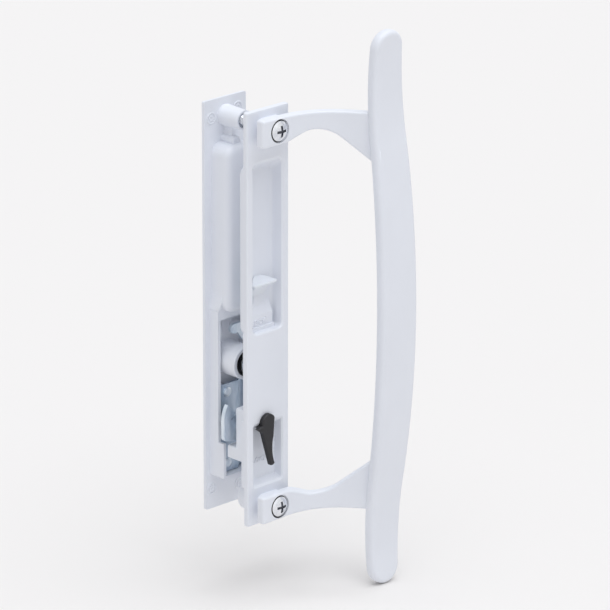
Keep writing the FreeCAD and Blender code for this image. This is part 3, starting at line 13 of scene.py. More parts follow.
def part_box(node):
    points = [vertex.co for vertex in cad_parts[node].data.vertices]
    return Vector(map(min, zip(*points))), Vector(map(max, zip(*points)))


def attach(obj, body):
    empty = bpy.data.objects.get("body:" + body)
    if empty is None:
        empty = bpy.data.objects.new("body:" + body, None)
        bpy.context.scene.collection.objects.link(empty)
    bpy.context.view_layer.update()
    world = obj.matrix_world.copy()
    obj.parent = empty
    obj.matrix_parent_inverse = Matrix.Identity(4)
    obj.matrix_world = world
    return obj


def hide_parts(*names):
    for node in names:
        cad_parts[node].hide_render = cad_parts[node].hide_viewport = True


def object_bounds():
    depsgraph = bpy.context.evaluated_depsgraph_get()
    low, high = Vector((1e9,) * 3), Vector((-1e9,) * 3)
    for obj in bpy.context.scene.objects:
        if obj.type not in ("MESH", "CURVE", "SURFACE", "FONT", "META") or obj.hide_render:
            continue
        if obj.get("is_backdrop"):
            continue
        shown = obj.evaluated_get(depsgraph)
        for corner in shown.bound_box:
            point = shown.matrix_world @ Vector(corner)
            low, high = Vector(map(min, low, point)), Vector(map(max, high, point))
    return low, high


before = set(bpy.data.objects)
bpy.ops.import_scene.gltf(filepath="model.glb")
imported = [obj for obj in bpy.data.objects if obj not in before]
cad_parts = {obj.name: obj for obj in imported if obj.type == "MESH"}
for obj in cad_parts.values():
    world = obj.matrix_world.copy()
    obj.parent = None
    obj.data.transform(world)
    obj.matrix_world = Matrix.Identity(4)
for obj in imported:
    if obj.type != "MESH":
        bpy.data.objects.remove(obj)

MM = 0.001
PHOTO_WIDTH_PX = 610
SENSOR_WIDTH_MM = 36.0
TURNING_STEPS = 48
SMOOTH_BELOW_DEG = 35
# Corners nearer than this are one corner, in metres.
WELD_M = 1e-7
# Levels of a noise between which a finish goes from its one end to the other.
PATCH_SPAN = (0.35, 0.65)
GRAIN_SPAN = (0.3, 0.7)
# Height of a capital in Blender's own font, as a share of the font's size.
CAPITAL_SHARE = 0.70
Point = tuple[float, float, float]
Ring = list[Point]
Face = tuple[int, ...]
log = logging.getLogger("patio_door_handle")


class Part(Enum):
    """The CAD bodies that pieces ride on."""

    HANDLE_SET = "handle_set"
    THUMB_SLIDE = "slide"
    THUMB_LEVER = "lever"
    HOOK = "hook"
    KEY_PLUG = "plug"


def srgb(code: str) -> tuple[float, float, float, float]:
    """Turn an sRGB hex colour into linear light.

    Args:
        code: six hex digits after a hash sign.

    Returns:
        Red, green, blue and an alpha of 1.
    """
    parts = [int(code[i:i + 2], 16) / 255 for i in (1, 3, 5)]
    light = [c / 12.92 if c <= 0.04045 else ((c + 0.055) / 1.055) ** 2.4 for c in parts]
    return (*light, 1.0)


def add_node(tree: bpy.types.NodeTree, kind: str, settings: dict | None = None,
             links: dict | None = None) -> bpy.types.Node:
    """Add one node with its settings and its incoming links.

    Args:
        tree: node tree that gets the node.
        kind: the node's type name.
        settings: values for the node's properties, or for its sockets by name or number.
        links: output sockets of other nodes, by this node's socket name or number.

    Returns:
        The new node.
    """
    node = tree.nodes.new(kind)
    for key, value in (settings or {}).items():
        if isinstance(key, int) or key in node.inputs:
            node.inputs[key].default_value = value
        else:
            setattr(node, key, value)
    for key, source in (links or {}).items():
        tree.links.new(source, node.inputs[key])
    return node


def per_metre(size_mm: float) -> float:
    """Texture scale at which one feature of a noise is size_mm across."""
    return 1.0 / (size_mm * MM)


@dataclass(frozen=True)
class Finish:
    """A surface with its base colour, its slow colour change and its fine relief.

    The colour changes over patch_mm. The relief is a bump and a change of roughness at the real
    grain of the process, grain_mm across and grain_depth_mm deep.
    """

    name: str
    light_hex: str
    dark_hex: str
    patch_mm: float
    metallic: float
    ior: float
    roughness_low: float
    roughness_high: float
    grain_mm: float
    grain_depth_mm: float
    grain_stretch: Point = (1.0, 1.0, 1.0)
    grain_detail: float = 2.0
    patch_detail: float = 3.0

    def build(self) -> bpy.types.Material:
        """Make the material.

        Returns:
            A node material for the shader's own sockets, in the object's own coordinates.
        """
        material = bpy.data.materials.new(self.name)
        material.use_nodes = True
        tree = material.node_tree
        tree.nodes.clear()
        place = add_node(tree, "ShaderNodeTexCoord")
        stretched = add_node(tree, "ShaderNodeMapping", {"Scale": self.grain_stretch},
                             {"Vector": place.outputs["Object"]})
        patches = add_node(tree, "ShaderNodeTexNoise",
                           {"Scale": per_metre(self.patch_mm), "Detail": self.patch_detail},
                           {"Vector": stretched.outputs["Vector"]})
        colour = add_node(tree, "ShaderNodeValToRGB", None, {"Fac": patches.outputs["Fac"]})
        for stop, level, code in zip(colour.color_ramp.elements, PATCH_SPAN, (self.dark_hex, self.light_hex)):
            stop.position = level
            stop.color = srgb(code)
        grain = add_node(tree, "ShaderNodeTexNoise",
                         {"Scale": per_metre(self.grain_mm), "Detail": self.grain_detail},
                         {"Vector": stretched.outputs["Vector"]})
        rough = add_node(tree, "ShaderNodeMapRange",
                         {"From Min": GRAIN_SPAN[0], "From Max": GRAIN_SPAN[1],
                          "To Min": self.roughness_low, "To Max": self.roughness_high},
                         {"Value": grain.outputs["Fac"]})
        relief = add_node(tree, "ShaderNodeBump",
                          {"Strength": 1.0, "Distance": self.grain_depth_mm * MM},
                          {"Height": grain.outputs["Fac"]})
        shader = add_node(tree, "ShaderNodeBsdfPrincipled",
                          {"Metallic": self.metallic, "IOR": self.ior},
                          {"Base Color": colour.outputs["Color"],
                           "Roughness": rough.outputs["Result"],
                           "Normal": relief.outputs["Normal"]})
        add_node(tree, "ShaderNodeOutputMaterial", None, {"Surface": shader.outputs["BSDF"]})
        return material


# Powder coat on die-cast zinc: an even cool white with a soft sheen and a faint orange peel.
POWDER_COAT = Finish("powder_coated_zinc_casting", "#ECEFF6", "#EAEDF4", 25.0, 0.0, 1.5,
                     0.34, 0.46, 1.6, 0.010)
# Moulded ABS: the same white, a little smoother, with no peel but a fine moulded grain.
WHITE_ABS = Finish("moulded_white_abs", "#ECF0F6", "#EAEEF4", 20.0, 0.0, 1.53,
                   0.30, 0.40, 0.5, 0.003)
# Spark-eroded black nylon: near black, with a fine matt grain from the mould.
BLACK_NYLON = Finish("moulded_black_nylon", "#1A191D", "#151418", 6.0, 0.0, 1.53,
                     0.42, 0.60, 0.35, 0.012)
# Bright zinc plating, blue passivated, over stamped steel: bluish and slightly cloudy.
ZINC_PLATE = Finish("zinc_plated_stamped_steel", "#E6ECF2", "#CBD6E1", 3.5, 1.0, 1.5,
                    0.34, 0.52, 0.6, 0.004, (1.0, 1.0, 0.35))
# The same plating on the folded case, duller where the brake has rubbed it.
ZINC_CASE = Finish("zinc_plated_folded_case", "#C3CEDA", "#A2B2C3", 4.5, 1.0, 1.5,
                   0.34, 0.52, 0.6, 0.004, (1.0, 1.0, 0.35))
# Nickel plating over a cold-headed screw: bright, with soft marks of the heading die.
NICKEL_SCREW = Finish("nickel_plated_steel_screw", "#ECEEF2", "#D9DCE3", 2.0, 1.0, 1.5,
                      0.16, 0.28, 0.5, 0.003)
# Painted shade: a dark finish that stands for the shade deep in a screw's cross recess.
RECESS_PAINTED_SHADE = Finish("dark_phosphate_in_screw_recess", "#4B4E58", "#3E414A", 1.0, 0.0, 1.5,
                          0.50, 0.70, 0.3, 0.003)
# Satin nickel plating over turned brass.
NICKEL_BRASS = Finish("nickel_plated_brass", "#CDCAC2", "#C6C3BB", 6.0, 1.0, 1.5,
                      0.24, 0.36, 0.4, 0.003)
# Black oxide on spring steel: dark, with a dull sheen.
BLACK_OXIDE = Finish("black_oxide_spring_steel", "#1B1B1F", "#131316", 3.0, 1.0, 1.5,
                     0.38, 0.52, 0.4, 0.004)


def solid(name: str, points: list[Point], faces: list[Face]) -> bpy.types.Object:
    """Make a mesh object from points in millimetres, with its faces turned outwards.

    Faces that meet at a low angle are shaded as one.

    Args:
        name: the piece's name.
        points: corner places in the frame, in millimetres.
        faces: the corners of each face.

    Returns:
        The new object, linked to the scene.
    """
    mesh = bpy.data.meshes.new(name)
    mesh.from_pydata([tuple(c * MM for c in point) for point in points], [], faces)
    form = bmesh.new()
    form.from_mesh(mesh)
    bmesh.ops.remove_doubles(form, verts=form.verts, dist=WELD_M)
    bmesh.ops.recalc_face_normals(form, faces=form.faces)
    for face in form.faces:
        face.smooth = True
    for edge in form.edges:
        edge.smooth = len(edge.link_faces) == 2 and edge.calc_face_angle() < math.radians(SMOOTH_BELOW_DEG)
    form.to_mesh(mesh)
    form.free()
    piece = bpy.data.objects.new(name, mesh)
    bpy.context.scene.collection.objects.link(piece)
    return piece


def turned(name: str, x: float, z: float, profile: list[tuple[float, float]]) -> bpy.types.Object:
    """Turn a closed profile about an axis that runs from the room to the outside.

    Args:
        name: the piece's name.
        x: the axis, to the right.
        z: the axis, upwards.
        profile: radius and place along the axis of each corner, in millimetres.

    Returns:
        A ring, or a solid where the profile touches the axis.
    """
    points = []
    for step in range(TURNING_STEPS):
        angle = math.tau * step / TURNING_STEPS
        points += [(x + r * math.cos(angle), y, z + r * math.sin(angle)) for r, y in profile]
    count = len(profile)
    faces = []
    for step in range(TURNING_STEPS):
        here, there = step * count, (step + 1) % TURNING_STEPS * count
        for k in range(count):
            after = (k + 1) % count
            faces.append((here + k, here + after, there + after, there + k))
    return solid(name, points, faces)


def lofted(rings: list[Ring], first: int = 0) -> tuple[list[Point], list[Face]]:
    """Join closed rings of equally many points into a skin with both ends capped.

    Args:
        rings: each ring's corners, in millimetres.
        first: number of the first corner, for a skin that joins others in one mesh.

    Returns:
        The corners and the faces.
    """
    count = len(rings[0])
    points = [point for ring in rings for point in ring]
    faces = [tuple(first + k for k in range(count)),
             tuple(first + (len(rings) - 1) * count + k for k in reversed(range(count)))]
    for row in range(len(rings) - 1):
        for k in range(count):
            a, b = first + row * count + k, first + row * count + (k + 1) % count
            faces.append((a, b, b + count, a + count))
    return points, faces


def between(value: float, places: tuple[tuple[float, float], ...]) -> float:
    """Read a curve that is given by points, with straight lines between them.

    Args:
        value: where to read it.
        places: the points, by rising first number.

    Returns:
        The second number there.
    """
    for (low, at_low), (high, at_high) in zip(places, places[1:]):
        if value <= high:
            share = max(0.0, (value - low) / (high - low))
            return at_low + (at_high - at_low) * share
    return places[-1][1]


@dataclass
class SubAssembly:
    """CAD nodes that share a body, with the finish of each and the pieces made for them here."""

    part: Part
    finishes: dict[str, Finish]

    def build(self, materials: dict[str, bpy.types.Material]) -> None:
        """Make the group's own pieces: none, where the CAD nodes show all of it."""

    def dress(self, materials: dict[str, bpy.types.Material]) -> None:
        """Give each CAD node of the group its finish.

        Args:
            materials: the built materials by finish name.
        """
        for node, finish in self.finishes.items():
            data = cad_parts[node].data
            if not data.materials:
                data.materials.append(None)
            for number in range(len(data.materials)):
                data.materials[number] = materials[finish.name]
            log.info("%s: %s", node, finish.name)

    def finish_piece(self, piece: bpy.types.Object, material: bpy.types.Material, slot: str) -> None:
        """Give a piece its material and the body that it rides on.

        Args:
            piece: a mesh made by this script.
            material: its built material.
            slot: not used.
        """
        piece.data.materials.clear()
        piece.data.materials.append(material)
        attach(piece, self.part.value)
        log.info("%s: made, %d faces", piece.name, len(piece.data.polygons))


@dataclass
class Castings(SubAssembly):
    """The two plates and the pull handle, with their raised words, marks and small cast forms."""

    part: Part = Part.HANDLE_SET
    finishes: dict[str, Finish] = field(default_factory=lambda: {
        "interior_plate": POWDER_COAT, "exterior_plate": POWDER_COAT, "pull_handle": POWDER_COAT})
    word: str = "LOCK"
    word_relief: float = 0.40
    word_bevel: float = 0.05
    word_spacing: float = 1.12
    # Each word: centre to the right, face on which it stands, centre upwards, letter height.
    words: tuple[tuple[float, float, float, float], ...] = (
        (-1.8, 2.0, -2.7, 2.1), (-0.9, 2.4, -65.4, 2.1))
    # The marks of the ejector pins stand on the outer plate's inner face.
    ring_face: float = 24.0
    ring_relief: float = 0.32
    ring_width: float = 0.60
    # Bevel at the top of a ring, and how far its foot flares out and sinks in: across, along the axis.
    ring_bevel: tuple[float, float] = (0.12, 0.04)
    ring_foot: tuple[float, float] = (0.1, 0.05)
    # Each ring: centre to the right and upwards, middle radius.
    rings: tuple[Point, ...] = (
        (-7.9, 84.0, 2.3), (7.3, 86.0, 2.3), (-8.8, -83.0, 2.3), (7.6, -84.5, 2.3),
        (-7.9, 84.0, 1.0), (7.3, 86.0, 1.0), (-8.8, -83.0, 1.0), (7.6, -84.5, 1.0))
    pin_z: float = 73.8
    pin_radius: float = 2.4
    pin_tip: float = 16.7
    # The pin's end from its axis outwards: share of the radius, and depth behind the tip.
    pin_rim: tuple[tuple[float, float], ...] = (
        (0.0, 0.42), (0.52, 0.42), (0.64, 0.0), (0.88, 0.0), (1.0, 0.25))
    # Where the pieces that stand on the outer plate begin, just inside it.
    plate_root: float = 24.2
    shoulder_inner: float = 7.2
    shoulder_bevel: float = 0.5
    # Shoulder by height: height, how far out it reaches, and its front.
    shoulders: tuple[Point, ...] = (
        (-0.4, 9.69, 18.62), (0.4, 9.62, 18.4), (1.5, 9.40, 17.9), (3.0, 9.00, 17.3), (4.5, 8.60, 17.0),
        (6.0, 8.32, 17.0), (7.5, 8.15, 17.2))
    guide_face: float = 3.75
    guide_back: float = 4.6
    guide_steps: int = 12
    # Rounded edge of the guide rib: step in from its side, step back from its face.
    guide_edge: tuple[tuple[float, float], ...] = ((0.0, 0.3), (0.1, 0.1), (0.3, 0.0))
    # Half width of the guide rib by height.
    guide_widths: tuple[tuple[float, float], ...] = (
        (3.0, 5.2), (3.7, 4.6), (4.4, 3.7), (5.0, 3.1), (5.4, 2.9), (9.0, 2.9))

    def build(self, materials: dict[str, bpy.types.Material]) -> None:
        """Make the words, the marks, the pin's end, the guide rib and the shoulders, all in the coat.

        Args:
            materials: the built materials by finish name.
        """
        coat = materials[POWDER_COAT.name]
        pieces = [self.raised_word(number, *word) for number, word in enumerate(self.words)]
        pieces += [self.ejector_ring(number, *ring) for number, ring in enumerate(self.rings)]
        pieces += [self.pin_end(), self.guide_rib(), self.shoulder(-1.0), self.shoulder(1.0)]
        for piece in pieces:
            self.finish_piece(piece, coat, "white_casting")

    def shoulder(self, side: float) -> bpy.types.Object:
        """The cast fillet that runs the finger cup's side into the wider housing below it.

        Args:
            side: -1 for the left, 1 for the right.

        Returns:
            The fillet as a mesh.
        """
        root, inner, bevel = self.plate_root, side * self.shoulder_inner, self.shoulder_bevel
        rings = [[(inner, root, z), (side * out, root, z), (side * out, front + bevel, z),
                  (side * (out - bevel), front, z), (inner, front, z)] for z, out, front in self.shoulders]
        return solid("housing_shoulder_%s" % ("left" if side < 0 else "right"), *lofted(rings))

    def pin_end(self) -> bpy.types.Object:
        """A rim and a dimple over the end of the cast pin under the post."""
        profile = [(self.pin_radius * share, self.pin_tip + deep) for share, deep in self.pin_rim]
        profile += [(self.pin_radius, self.plate_root), (0.0, self.plate_root)]
        return turned("cast_pin_end", 0.0, self.pin_z, profile)

    def guide_rib(self) -> bpy.types.Object:
        """The low rib in the cup that runs inside the thumb slide's hollow web.

        Returns:
            The rib as a mesh, wider towards its foot.
        """
        low, high = self.guide_widths[0][0], self.guide_widths[-1][0]
        rings = []
        for step in range(self.guide_steps + 1):
            z = low + (high - low) * step / self.guide_steps
            half = between(z, self.guide_widths)
            left = [(-half, self.guide_back)]
            left += [(-half + inwards, self.guide_face + behind) for inwards, behind in self.guide_edge]
            rings.append([(x, y, z) for x, y in left] + [(-x, y, z) for x, y in reversed(left)])
        return solid("slide_guide_rib", *lofted(rings))

    def raised_word(self, number: int, x: float, face: float, z: float, height: float) -> bpy.types.Object:
        """Cast letters that stand a little out of the metal towards the room.

        Args:
            number: counts the words.
            x: centre of the word, to the right.
            face: place of the surface that carries it.
            z: centre of the word, upwards.
            height: height of a capital.

        Returns:
            The letters as one mesh.
        """
        curve = bpy.data.curves.new("word_form", "FONT")
        curve.body = self.word
        curve.align_x = "CENTER"
        curve.align_y = "CENTER"
        curve.size = height * MM / CAPITAL_SHARE
        curve.space_character = self.word_spacing
        curve.extrude = self.word_relief * MM
        curve.bevel_depth = self.word_bevel * MM
        curve.bevel_resolution = 1
        curve.resolution_u = 3
        form = bpy.data.objects.new("word_form", curve)
        bpy.context.scene.collection.objects.link(form)
        mesh = bpy.data.meshes.new_from_object(form.evaluated_get(bpy.context.evaluated_depsgraph_get()))
        bpy.data.objects.remove(form)
        mesh.name = "cast_word_%d" % number
        mesh.transform(Matrix.Translation(Vector((x, face, z)) * MM) @ Matrix.Rotation(math.pi / 2, 4, "X"))
        piece = bpy.data.objects.new(mesh.name, mesh)
        bpy.context.scene.collection.objects.link(piece)
        return piece

    def ejector_ring(self, number: int, x: float, z: float, radius: float) -> bpy.types.Object:
        """The low round ridge that a mould's ejector pin leaves on the inner face of the plate.

        Args:
            number: counts the ridges.
            x: its centre, to the right.
            z: its centre, upwards.
            radius: its middle radius.

        Returns:
            The ridge as a mesh.
        """
        edge, top = radius + self.ring_width / 2, self.ring_face - self.ring_relief
        outer = [(edge - self.ring_bevel[0], top), (edge, top + self.ring_bevel[1]),
                 (edge + self.ring_foot[0], self.ring_face + self.ring_foot[1])]
        profile = [(2 * radius - r, y) for r, y in reversed(outer)] + outer
        return turned("ejector_mark_%d" % number, x, z, profile)


@dataclass
class MountingScrews(SubAssembly):
    """The two screws through the door, with the thread of the long one and a thin black ring of painted shade
    round each head.
    """

    part: Part = Part.HANDLE_SET
    finishes: dict[str, Finish] = field(default_factory=lambda: {
        "upper_mounting_screw": NICKEL_SCREW, "lower_mounting_screw": NICKEL_SCREW})
    hole_half_spacing: float = 84.15
    shank_radius: float = 2.05
    thread_pitch: float = 0.8
    thread_depth: float = 0.2
    thread_start: float = 1.2
    thread_end: float = 14.2
    thread_steps: int = 20
    # How far the foot of the ridge lies inside the shank.
    thread_sunk: float = 0.04
    # Section of the ridge: share of its height, and share of the pitch along the axis.
    thread_form: tuple[tuple[float, float], ...] = ((0.0, -0.42), (1.0, -0.06), (1.0, 0.06), (0.0, 0.42))
    # Painted shade: a thin black ring in the counterbore stands for the shaded gap round each head.
    gap_shade_inner: float = 3.6
    gap_shade_outer: float = 4.95
    gap_shade_bevel: float = 0.12
    gap_shade_front: float = -9.35
    gap_shade_back: float = -8.95
    # How far each ring of painted shade hangs off the hole, to the right and upwards, so that it shows only
    # on the head's shaded side.
    gap_shade_shifts: tuple[tuple[float, float], ...] = ((-0.40, 0.12), (-0.22, -0.12))
    # The dark cross of painted shade: length and half width of an arm, and its front and back behind the
    # head's top.
    recess_arm: float = 2.3
    recess_half: float = 0.46
    recess_sunk: float = 0.8
    recess_depth: float = 1.5

    def build(self, materials: dict[str, bpy.types.Material]) -> None:
        """Cut the thread, lay a black ring of painted shade in the counterbore round each head and paint
        shade into the recesses.

        Args:
            materials: the built materials by finish name.
        """
        self.finish_piece(self.thread(), materials[NICKEL_SCREW.name], "bright_screw")
        for number, name in enumerate(("upper", "lower")):
            z = self.hole_half_spacing * (1 - 2 * number)
            across, up = self.gap_shade_shifts[number]
            # Painted shade: the black ring for the shaded gap beside the head.
            gap_shade_ring = self.gap_shade_ring(name + "_screw_washer", across, z + up)
            self.finish_piece(gap_shade_ring, materials[BLACK_NYLON.name], "black_moulding")
            # Painted shade: a dark cross low in each screw's recess.
            recess_shade_piece = self.painted_recess_shade(name, z)
            self.finish_piece(recess_shade_piece, materials[RECESS_PAINTED_SHADE.name], "bright_screw")

    def painted_recess_shade(self, name: str, z: float) -> bpy.types.Object:
        """A dark cross of painted shade low in the recess, which is deeper and so blacker with shade on the
        real head.

        Args:
            name: which screw.
            z: height of the screw's axis.

        Returns:
            The cross as a mesh.
        """
        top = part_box(name + "_mounting_screw")[0].y / MM
        arm, half = self.recess_arm, self.recess_half
        outline = [(half, half), (half, arm), (-half, arm), (-half, half), (-arm, half), (-arm, -half),
                   (-half, -half), (-half, -arm), (half, -arm), (half, -half), (arm, -half), (arm, half)]
        rings = [[(x, top + y, z + up) for x, up in outline] for y in (self.recess_sunk, self.recess_depth)]
        return solid(name + "_screw_recess", *lofted(rings))

    def thread(self) -> bpy.types.Object:
        """A rolled ridge that climbs round the shank in the gap between the plates.

        Returns:
            The ridge as a mesh, fading in and out over a turn at both ends.
        """
        steps, length = self.thread_steps, self.thread_end - self.thread_start
        total = int(length / self.thread_pitch * steps)
        root = self.shank_radius - self.thread_sunk
        rings = []
        for step in range(total + 1):
            angle = math.tau * step / steps
            y = self.thread_start + length * step / total
            fade = min(1.0, step / steps, (total - step) / steps)
            rise = self.shank_radius + self.thread_depth * fade - root
            rings.append([((root + rise * share) * math.cos(angle), y + shift * self.thread_pitch,
                           self.hole_half_spacing + (root + rise * share) * math.sin(angle))
                          for share, shift in self.thread_form])
        return solid("upper_screw_thread", *lofted(rings))

    def gap_shade_ring(self, name: str, x: float, z: float) -> bpy.types.Object:
        """A thin black ring of painted shade for the shaded gap round the head, hung a little to the left,
        that shows as a dark line beside the head.

        Args:
            name: the piece's name.
            x: its centre, to the right.
            z: its centre, upwards.

        Returns:
            The ring of painted shade as a mesh.
        """
        bevel = self.gap_shade_bevel
        profile = [(self.gap_shade_inner, self.gap_shade_back), (self.gap_shade_inner, self.gap_shade_front),
                   (self.gap_shade_outer - bevel, self.gap_shade_front),
                   (self.gap_shade_outer, self.gap_shade_front + bevel), (self.gap_shade_outer, self.gap_shade_back)]
        return turned(name, x, z, profile)


@dataclass
class KeyCylinder(SubAssembly):
    """The fixed parts of the lock cylinder."""

    part: Part = Part.HANDLE_SET
    finishes: dict[str, Finish] = field(default_factory=lambda: {
        "cylinder_body": NICKEL_BRASS, "cylinder_clip": BLACK_OXIDE,
        "cylinder_bracket": ZINC_PLATE, "bracket_screw": ZINC_PLATE})


@dataclass
class KeyPlug(SubAssembly):
    """The turning plug with the cam on its end, and the wards that stand in its key slot."""

    part: Part = Part.KEY_PLUG
    finishes: dict[str, Finish] = field(default_factory=lambda: {
        "cylinder_plug": NICKEL_BRASS, "cylinder_cam": ZINC_PLATE})
    slot_half_width: float = 0.8
    slot_mouth: float = 27.0
    plug_z: float = -24.0
    # A ward: how far it reaches into the wall, where its crest stands as a share of the slot's half
    # width, and how much wider it is at its foot.
    ward_sunk: float = 0.05
    ward_crest: float = 0.35
    ward_flare: float = 0.1
    # Along a ward: distance from the slot's mouth, and how far the crest falls back to the wall.
    ward_run: tuple[tuple[float, float], ...] = ((11.5, 0.0), (0.5, 0.0), (0.1, 0.35))
    # Each ward: side of the slot, lower and upper edge from the plug's axis.
    wards: tuple[Point, ...] = ((-1.0, 0.5, 1.1), (1.0, -1.3, -0.6))

    def build(self, materials: dict[str, bpy.types.Material]) -> None:
        """Stand the two wards in the slot.

        Args:
            materials: the built materials by finish name.
        """
        for number, (side, low, high) in enumerate(self.wards):
            self.finish_piece(self.ward(number, side, low, high), materials[NICKEL_BRASS.name],
                              "nickel_plated_brass")

    def ward(self, number: int, side: float, low: float, high: float) -> bpy.types.Object:
        """A rib along one side of the key slot, bevelled at its mouth.

        Args:
            number: counts the wards.
            side: -1 for the left side of the slot, 1 for the right.
            low: lower edge, from the plug's axis.
            high: upper edge, from the plug's axis.

        Returns:
            The rib as a mesh.
        """
        wall = side * (self.slot_half_width + self.ward_sunk)
        crest = side * self.slot_half_width * self.ward_crest
        rings = []
        for from_mouth, fall in self.ward_run:
            y, tip = self.slot_mouth - from_mouth, crest + (wall - crest) * fall
            rings.append([(wall, y, self.plug_z + low - self.ward_flare), (tip, y, self.plug_z + low),
                          (tip, y, self.plug_z + high), (wall, y, self.plug_z + high + self.ward_flare)])
        return solid("key_ward_%d" % number, *lofted(rings))


@dataclass
class LatchCase(SubAssembly):
    """The fixed steel parts that carry the hook."""

    part: Part = Part.HANDLE_SET
    finishes: dict[str, Finish] = field(default_factory=lambda: {
        "lock_case": ZINC_CASE, "case_screws": ZINC_PLATE, "hook_pivot": ZINC_PLATE,
        "hook_washer": ZINC_PLATE, "hook_spring": BLACK_OXIDE})


@dataclass
class Latch(SubAssembly):
    """The stamped hook."""

    part: Part = Part.HOOK
    finishes: dict[str, Finish] = field(default_factory=lambda: {"hook_latch": ZINC_PLATE})


@dataclass
class ThumbSlide(SubAssembly):
    """The white thumb slide with its clip, bar and screw behind the cup."""

    part: Part = Part.THUMB_SLIDE
    finishes: dict[str, Finish] = field(default_factory=lambda: {
        "thumb_slide": WHITE_ABS, "slide_clip": ZINC_PLATE, "slide_bar": ZINC_PLATE,
        "slide_screw": ZINC_PLATE})
    tab_half: float = 6.9
    tab_front: float = -1.1
    tab_thickness: float = 1.2
    # Back of the tab, the web and the flange, a hair off the floor of the cup.
    floor_gap_face: float = 4.4
    end_round: float = 0.75
    # Slices across the tab, corners of each rounded edge, and corners between the two edges.
    tab_steps: int = 32
    edge_steps: int = 4
    inner_steps: int = 8
    # Fullness of the tab's section at its very ends, as a share of the whole.
    end_fullness: float = 0.22
    # How far the front edge falls back at the ends, and the power of its curve.
    front_bow: float = 0.25
    front_power: int = 4
    # Power of the back edge's curve, and the least depth that it leaves at the ends.
    back_power: float = 1.7
    least_depth: float = 1.7
    # Radius of the tab's front and back edges, at most, and as a share of half the depth.
    lip: float = 0.42
    lip_share: float = 0.6
    # Height of the tab's top by its place from the room towards the door.
    tab_top: tuple[tuple[float, float], ...] = (
        (-1.1, 15.05), (-0.7, 15.18), (0.35, 15.36), (1.4, 15.67), (2.4, 16.09), (3.4, 16.6), (4.4, 17.2))
    # Web by height: height, half width, place of its front.
    web: tuple[Point, ...] = (
        (8.9, 3.50, 3.22), (9.4, 3.75, 3.14), (9.9, 4.10, 3.02), (10.4, 4.38, 2.86), (10.9, 4.52, 2.66),
        (11.4, 4.58, 2.42), (11.9, 4.55, 2.12), (12.4, 4.42, 1.76), (12.9, 4.15, 1.32), (13.4, 3.75, 0.72),
        (13.8, 3.30, 0.05), (14.3, 2.60, -0.30))
    web_wall: float = 0.45
    # Corner radius of the web, at most, and as a share of its depth.
    web_corner: float = 0.9
    web_corner_share: float = 0.7
    # The stem runs through the cup's floor, from inside the tab to the clip.
    stem_half: float = 1.7
    stem_low: float = 12.9
    stem_high: float = 16.6
    stem_front: float = 3.6
    stem_back: float = 6.5
    flange_half: float = 2.45
    flange_top: float = 17.3
    flange_thickness: float = 0.5
    flange_chamfer: float = 0.6
    # How much smaller the flange's front is, to each side and at its top.
    flange_draft: tuple[float, float] = (0.45, 0.9)

    def build(self, materials: dict[str, bpy.types.Material]) -> None:
        """Mould the thumb slide anew, with the rounded tab and the narrow web of the real one.

        Args:
            materials: the built materials by finish name.
        """
        piece = self.moulding()
        self.finish_piece(piece, materials[WHITE_ABS.name], "white_moulding")
        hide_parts("thumb_slide")

    def moulding(self) -> bpy.types.Object:
        """Tab, web, stem and flange as one mesh.

        Returns:
            The whole moulding.
        """
        points: list[Point] = []
        faces: list[Face] = []
        for rings in (self.tab_rings(), self.web_rings(), self.stem_rings(), self.flange_rings()):
            more_points, more_faces = lofted(rings, len(points))
            points += more_points
            faces += more_faces
        return solid("moulded_thumb_slide", points, faces)

    def tab_level(self, y: float) -> float:
        """Height of the tab's middle plane at a place from the room towards the door."""
        return between(y, self.tab_top) - self.tab_thickness / 2

    def tab_edge(self, x: float, y: float, lip: float, half_thick: float, first_turn: float) -> Ring:
        """Half a turn round the tab's front or back edge.

        Args:
            x: place of the slice, to the right.
            y: centre of the turn, towards the door.
            lip: its radius towards the edge.
            half_thick: its radius upwards.
            first_turn: where it starts, in half turns.

        Returns:
            The corners of the turn.
        """
        angles = [math.pi * (first_turn + turn / self.edge_steps) for turn in range(self.edge_steps + 1)]
        return [(x, y + lip * math.cos(angle), self.tab_level(y) + half_thick * math.sin(angle))
                for angle in angles]

    def tab_rings(self) -> list[Ring]:
        """Slices across the tab, whose back edge curves forward to both ends.

        Returns:
            One ring for each place across, all with equally many points.
        """
        rings = []
        for step in range(self.tab_steps + 1):
            x = -self.tab_half * math.cos(math.pi * step / self.tab_steps)
            into_end = max(0.0, abs(x) - (self.tab_half - self.end_round)) / self.end_round
            fullness = max(self.end_fullness, math.sqrt(max(0.0, 1 - into_end ** 2)))
            front = self.tab_front + self.front_bow * (abs(x) / self.tab_half) ** self.front_power
            beside = max(0.0, abs(x) - self.stem_half) / (self.tab_half - self.stem_half)
            back = max(self.floor_gap_face * (1 - beside ** self.back_power), front + self.least_depth)
            middle, half = (front + back) / 2, (back - front) / 2 * fullness
            lip = min(self.lip, half * self.lip_share)
            half_thick = self.tab_thickness / 2 * fullness
            first, last = middle - half + lip, middle + half - lip
            inner = [first + (last - first) * k / self.inner_steps for k in range(1, self.inner_steps)]
            rings.append(self.tab_edge(x, first, lip, half_thick, 0.5)
                         + [(x, y, self.tab_level(y) - half_thick) for y in inner]
                         + self.tab_edge(x, last, lip, half_thick, -0.5)
                         + [(x, y, self.tab_level(y) + half_thick) for y in reversed(inner)])
        return rings

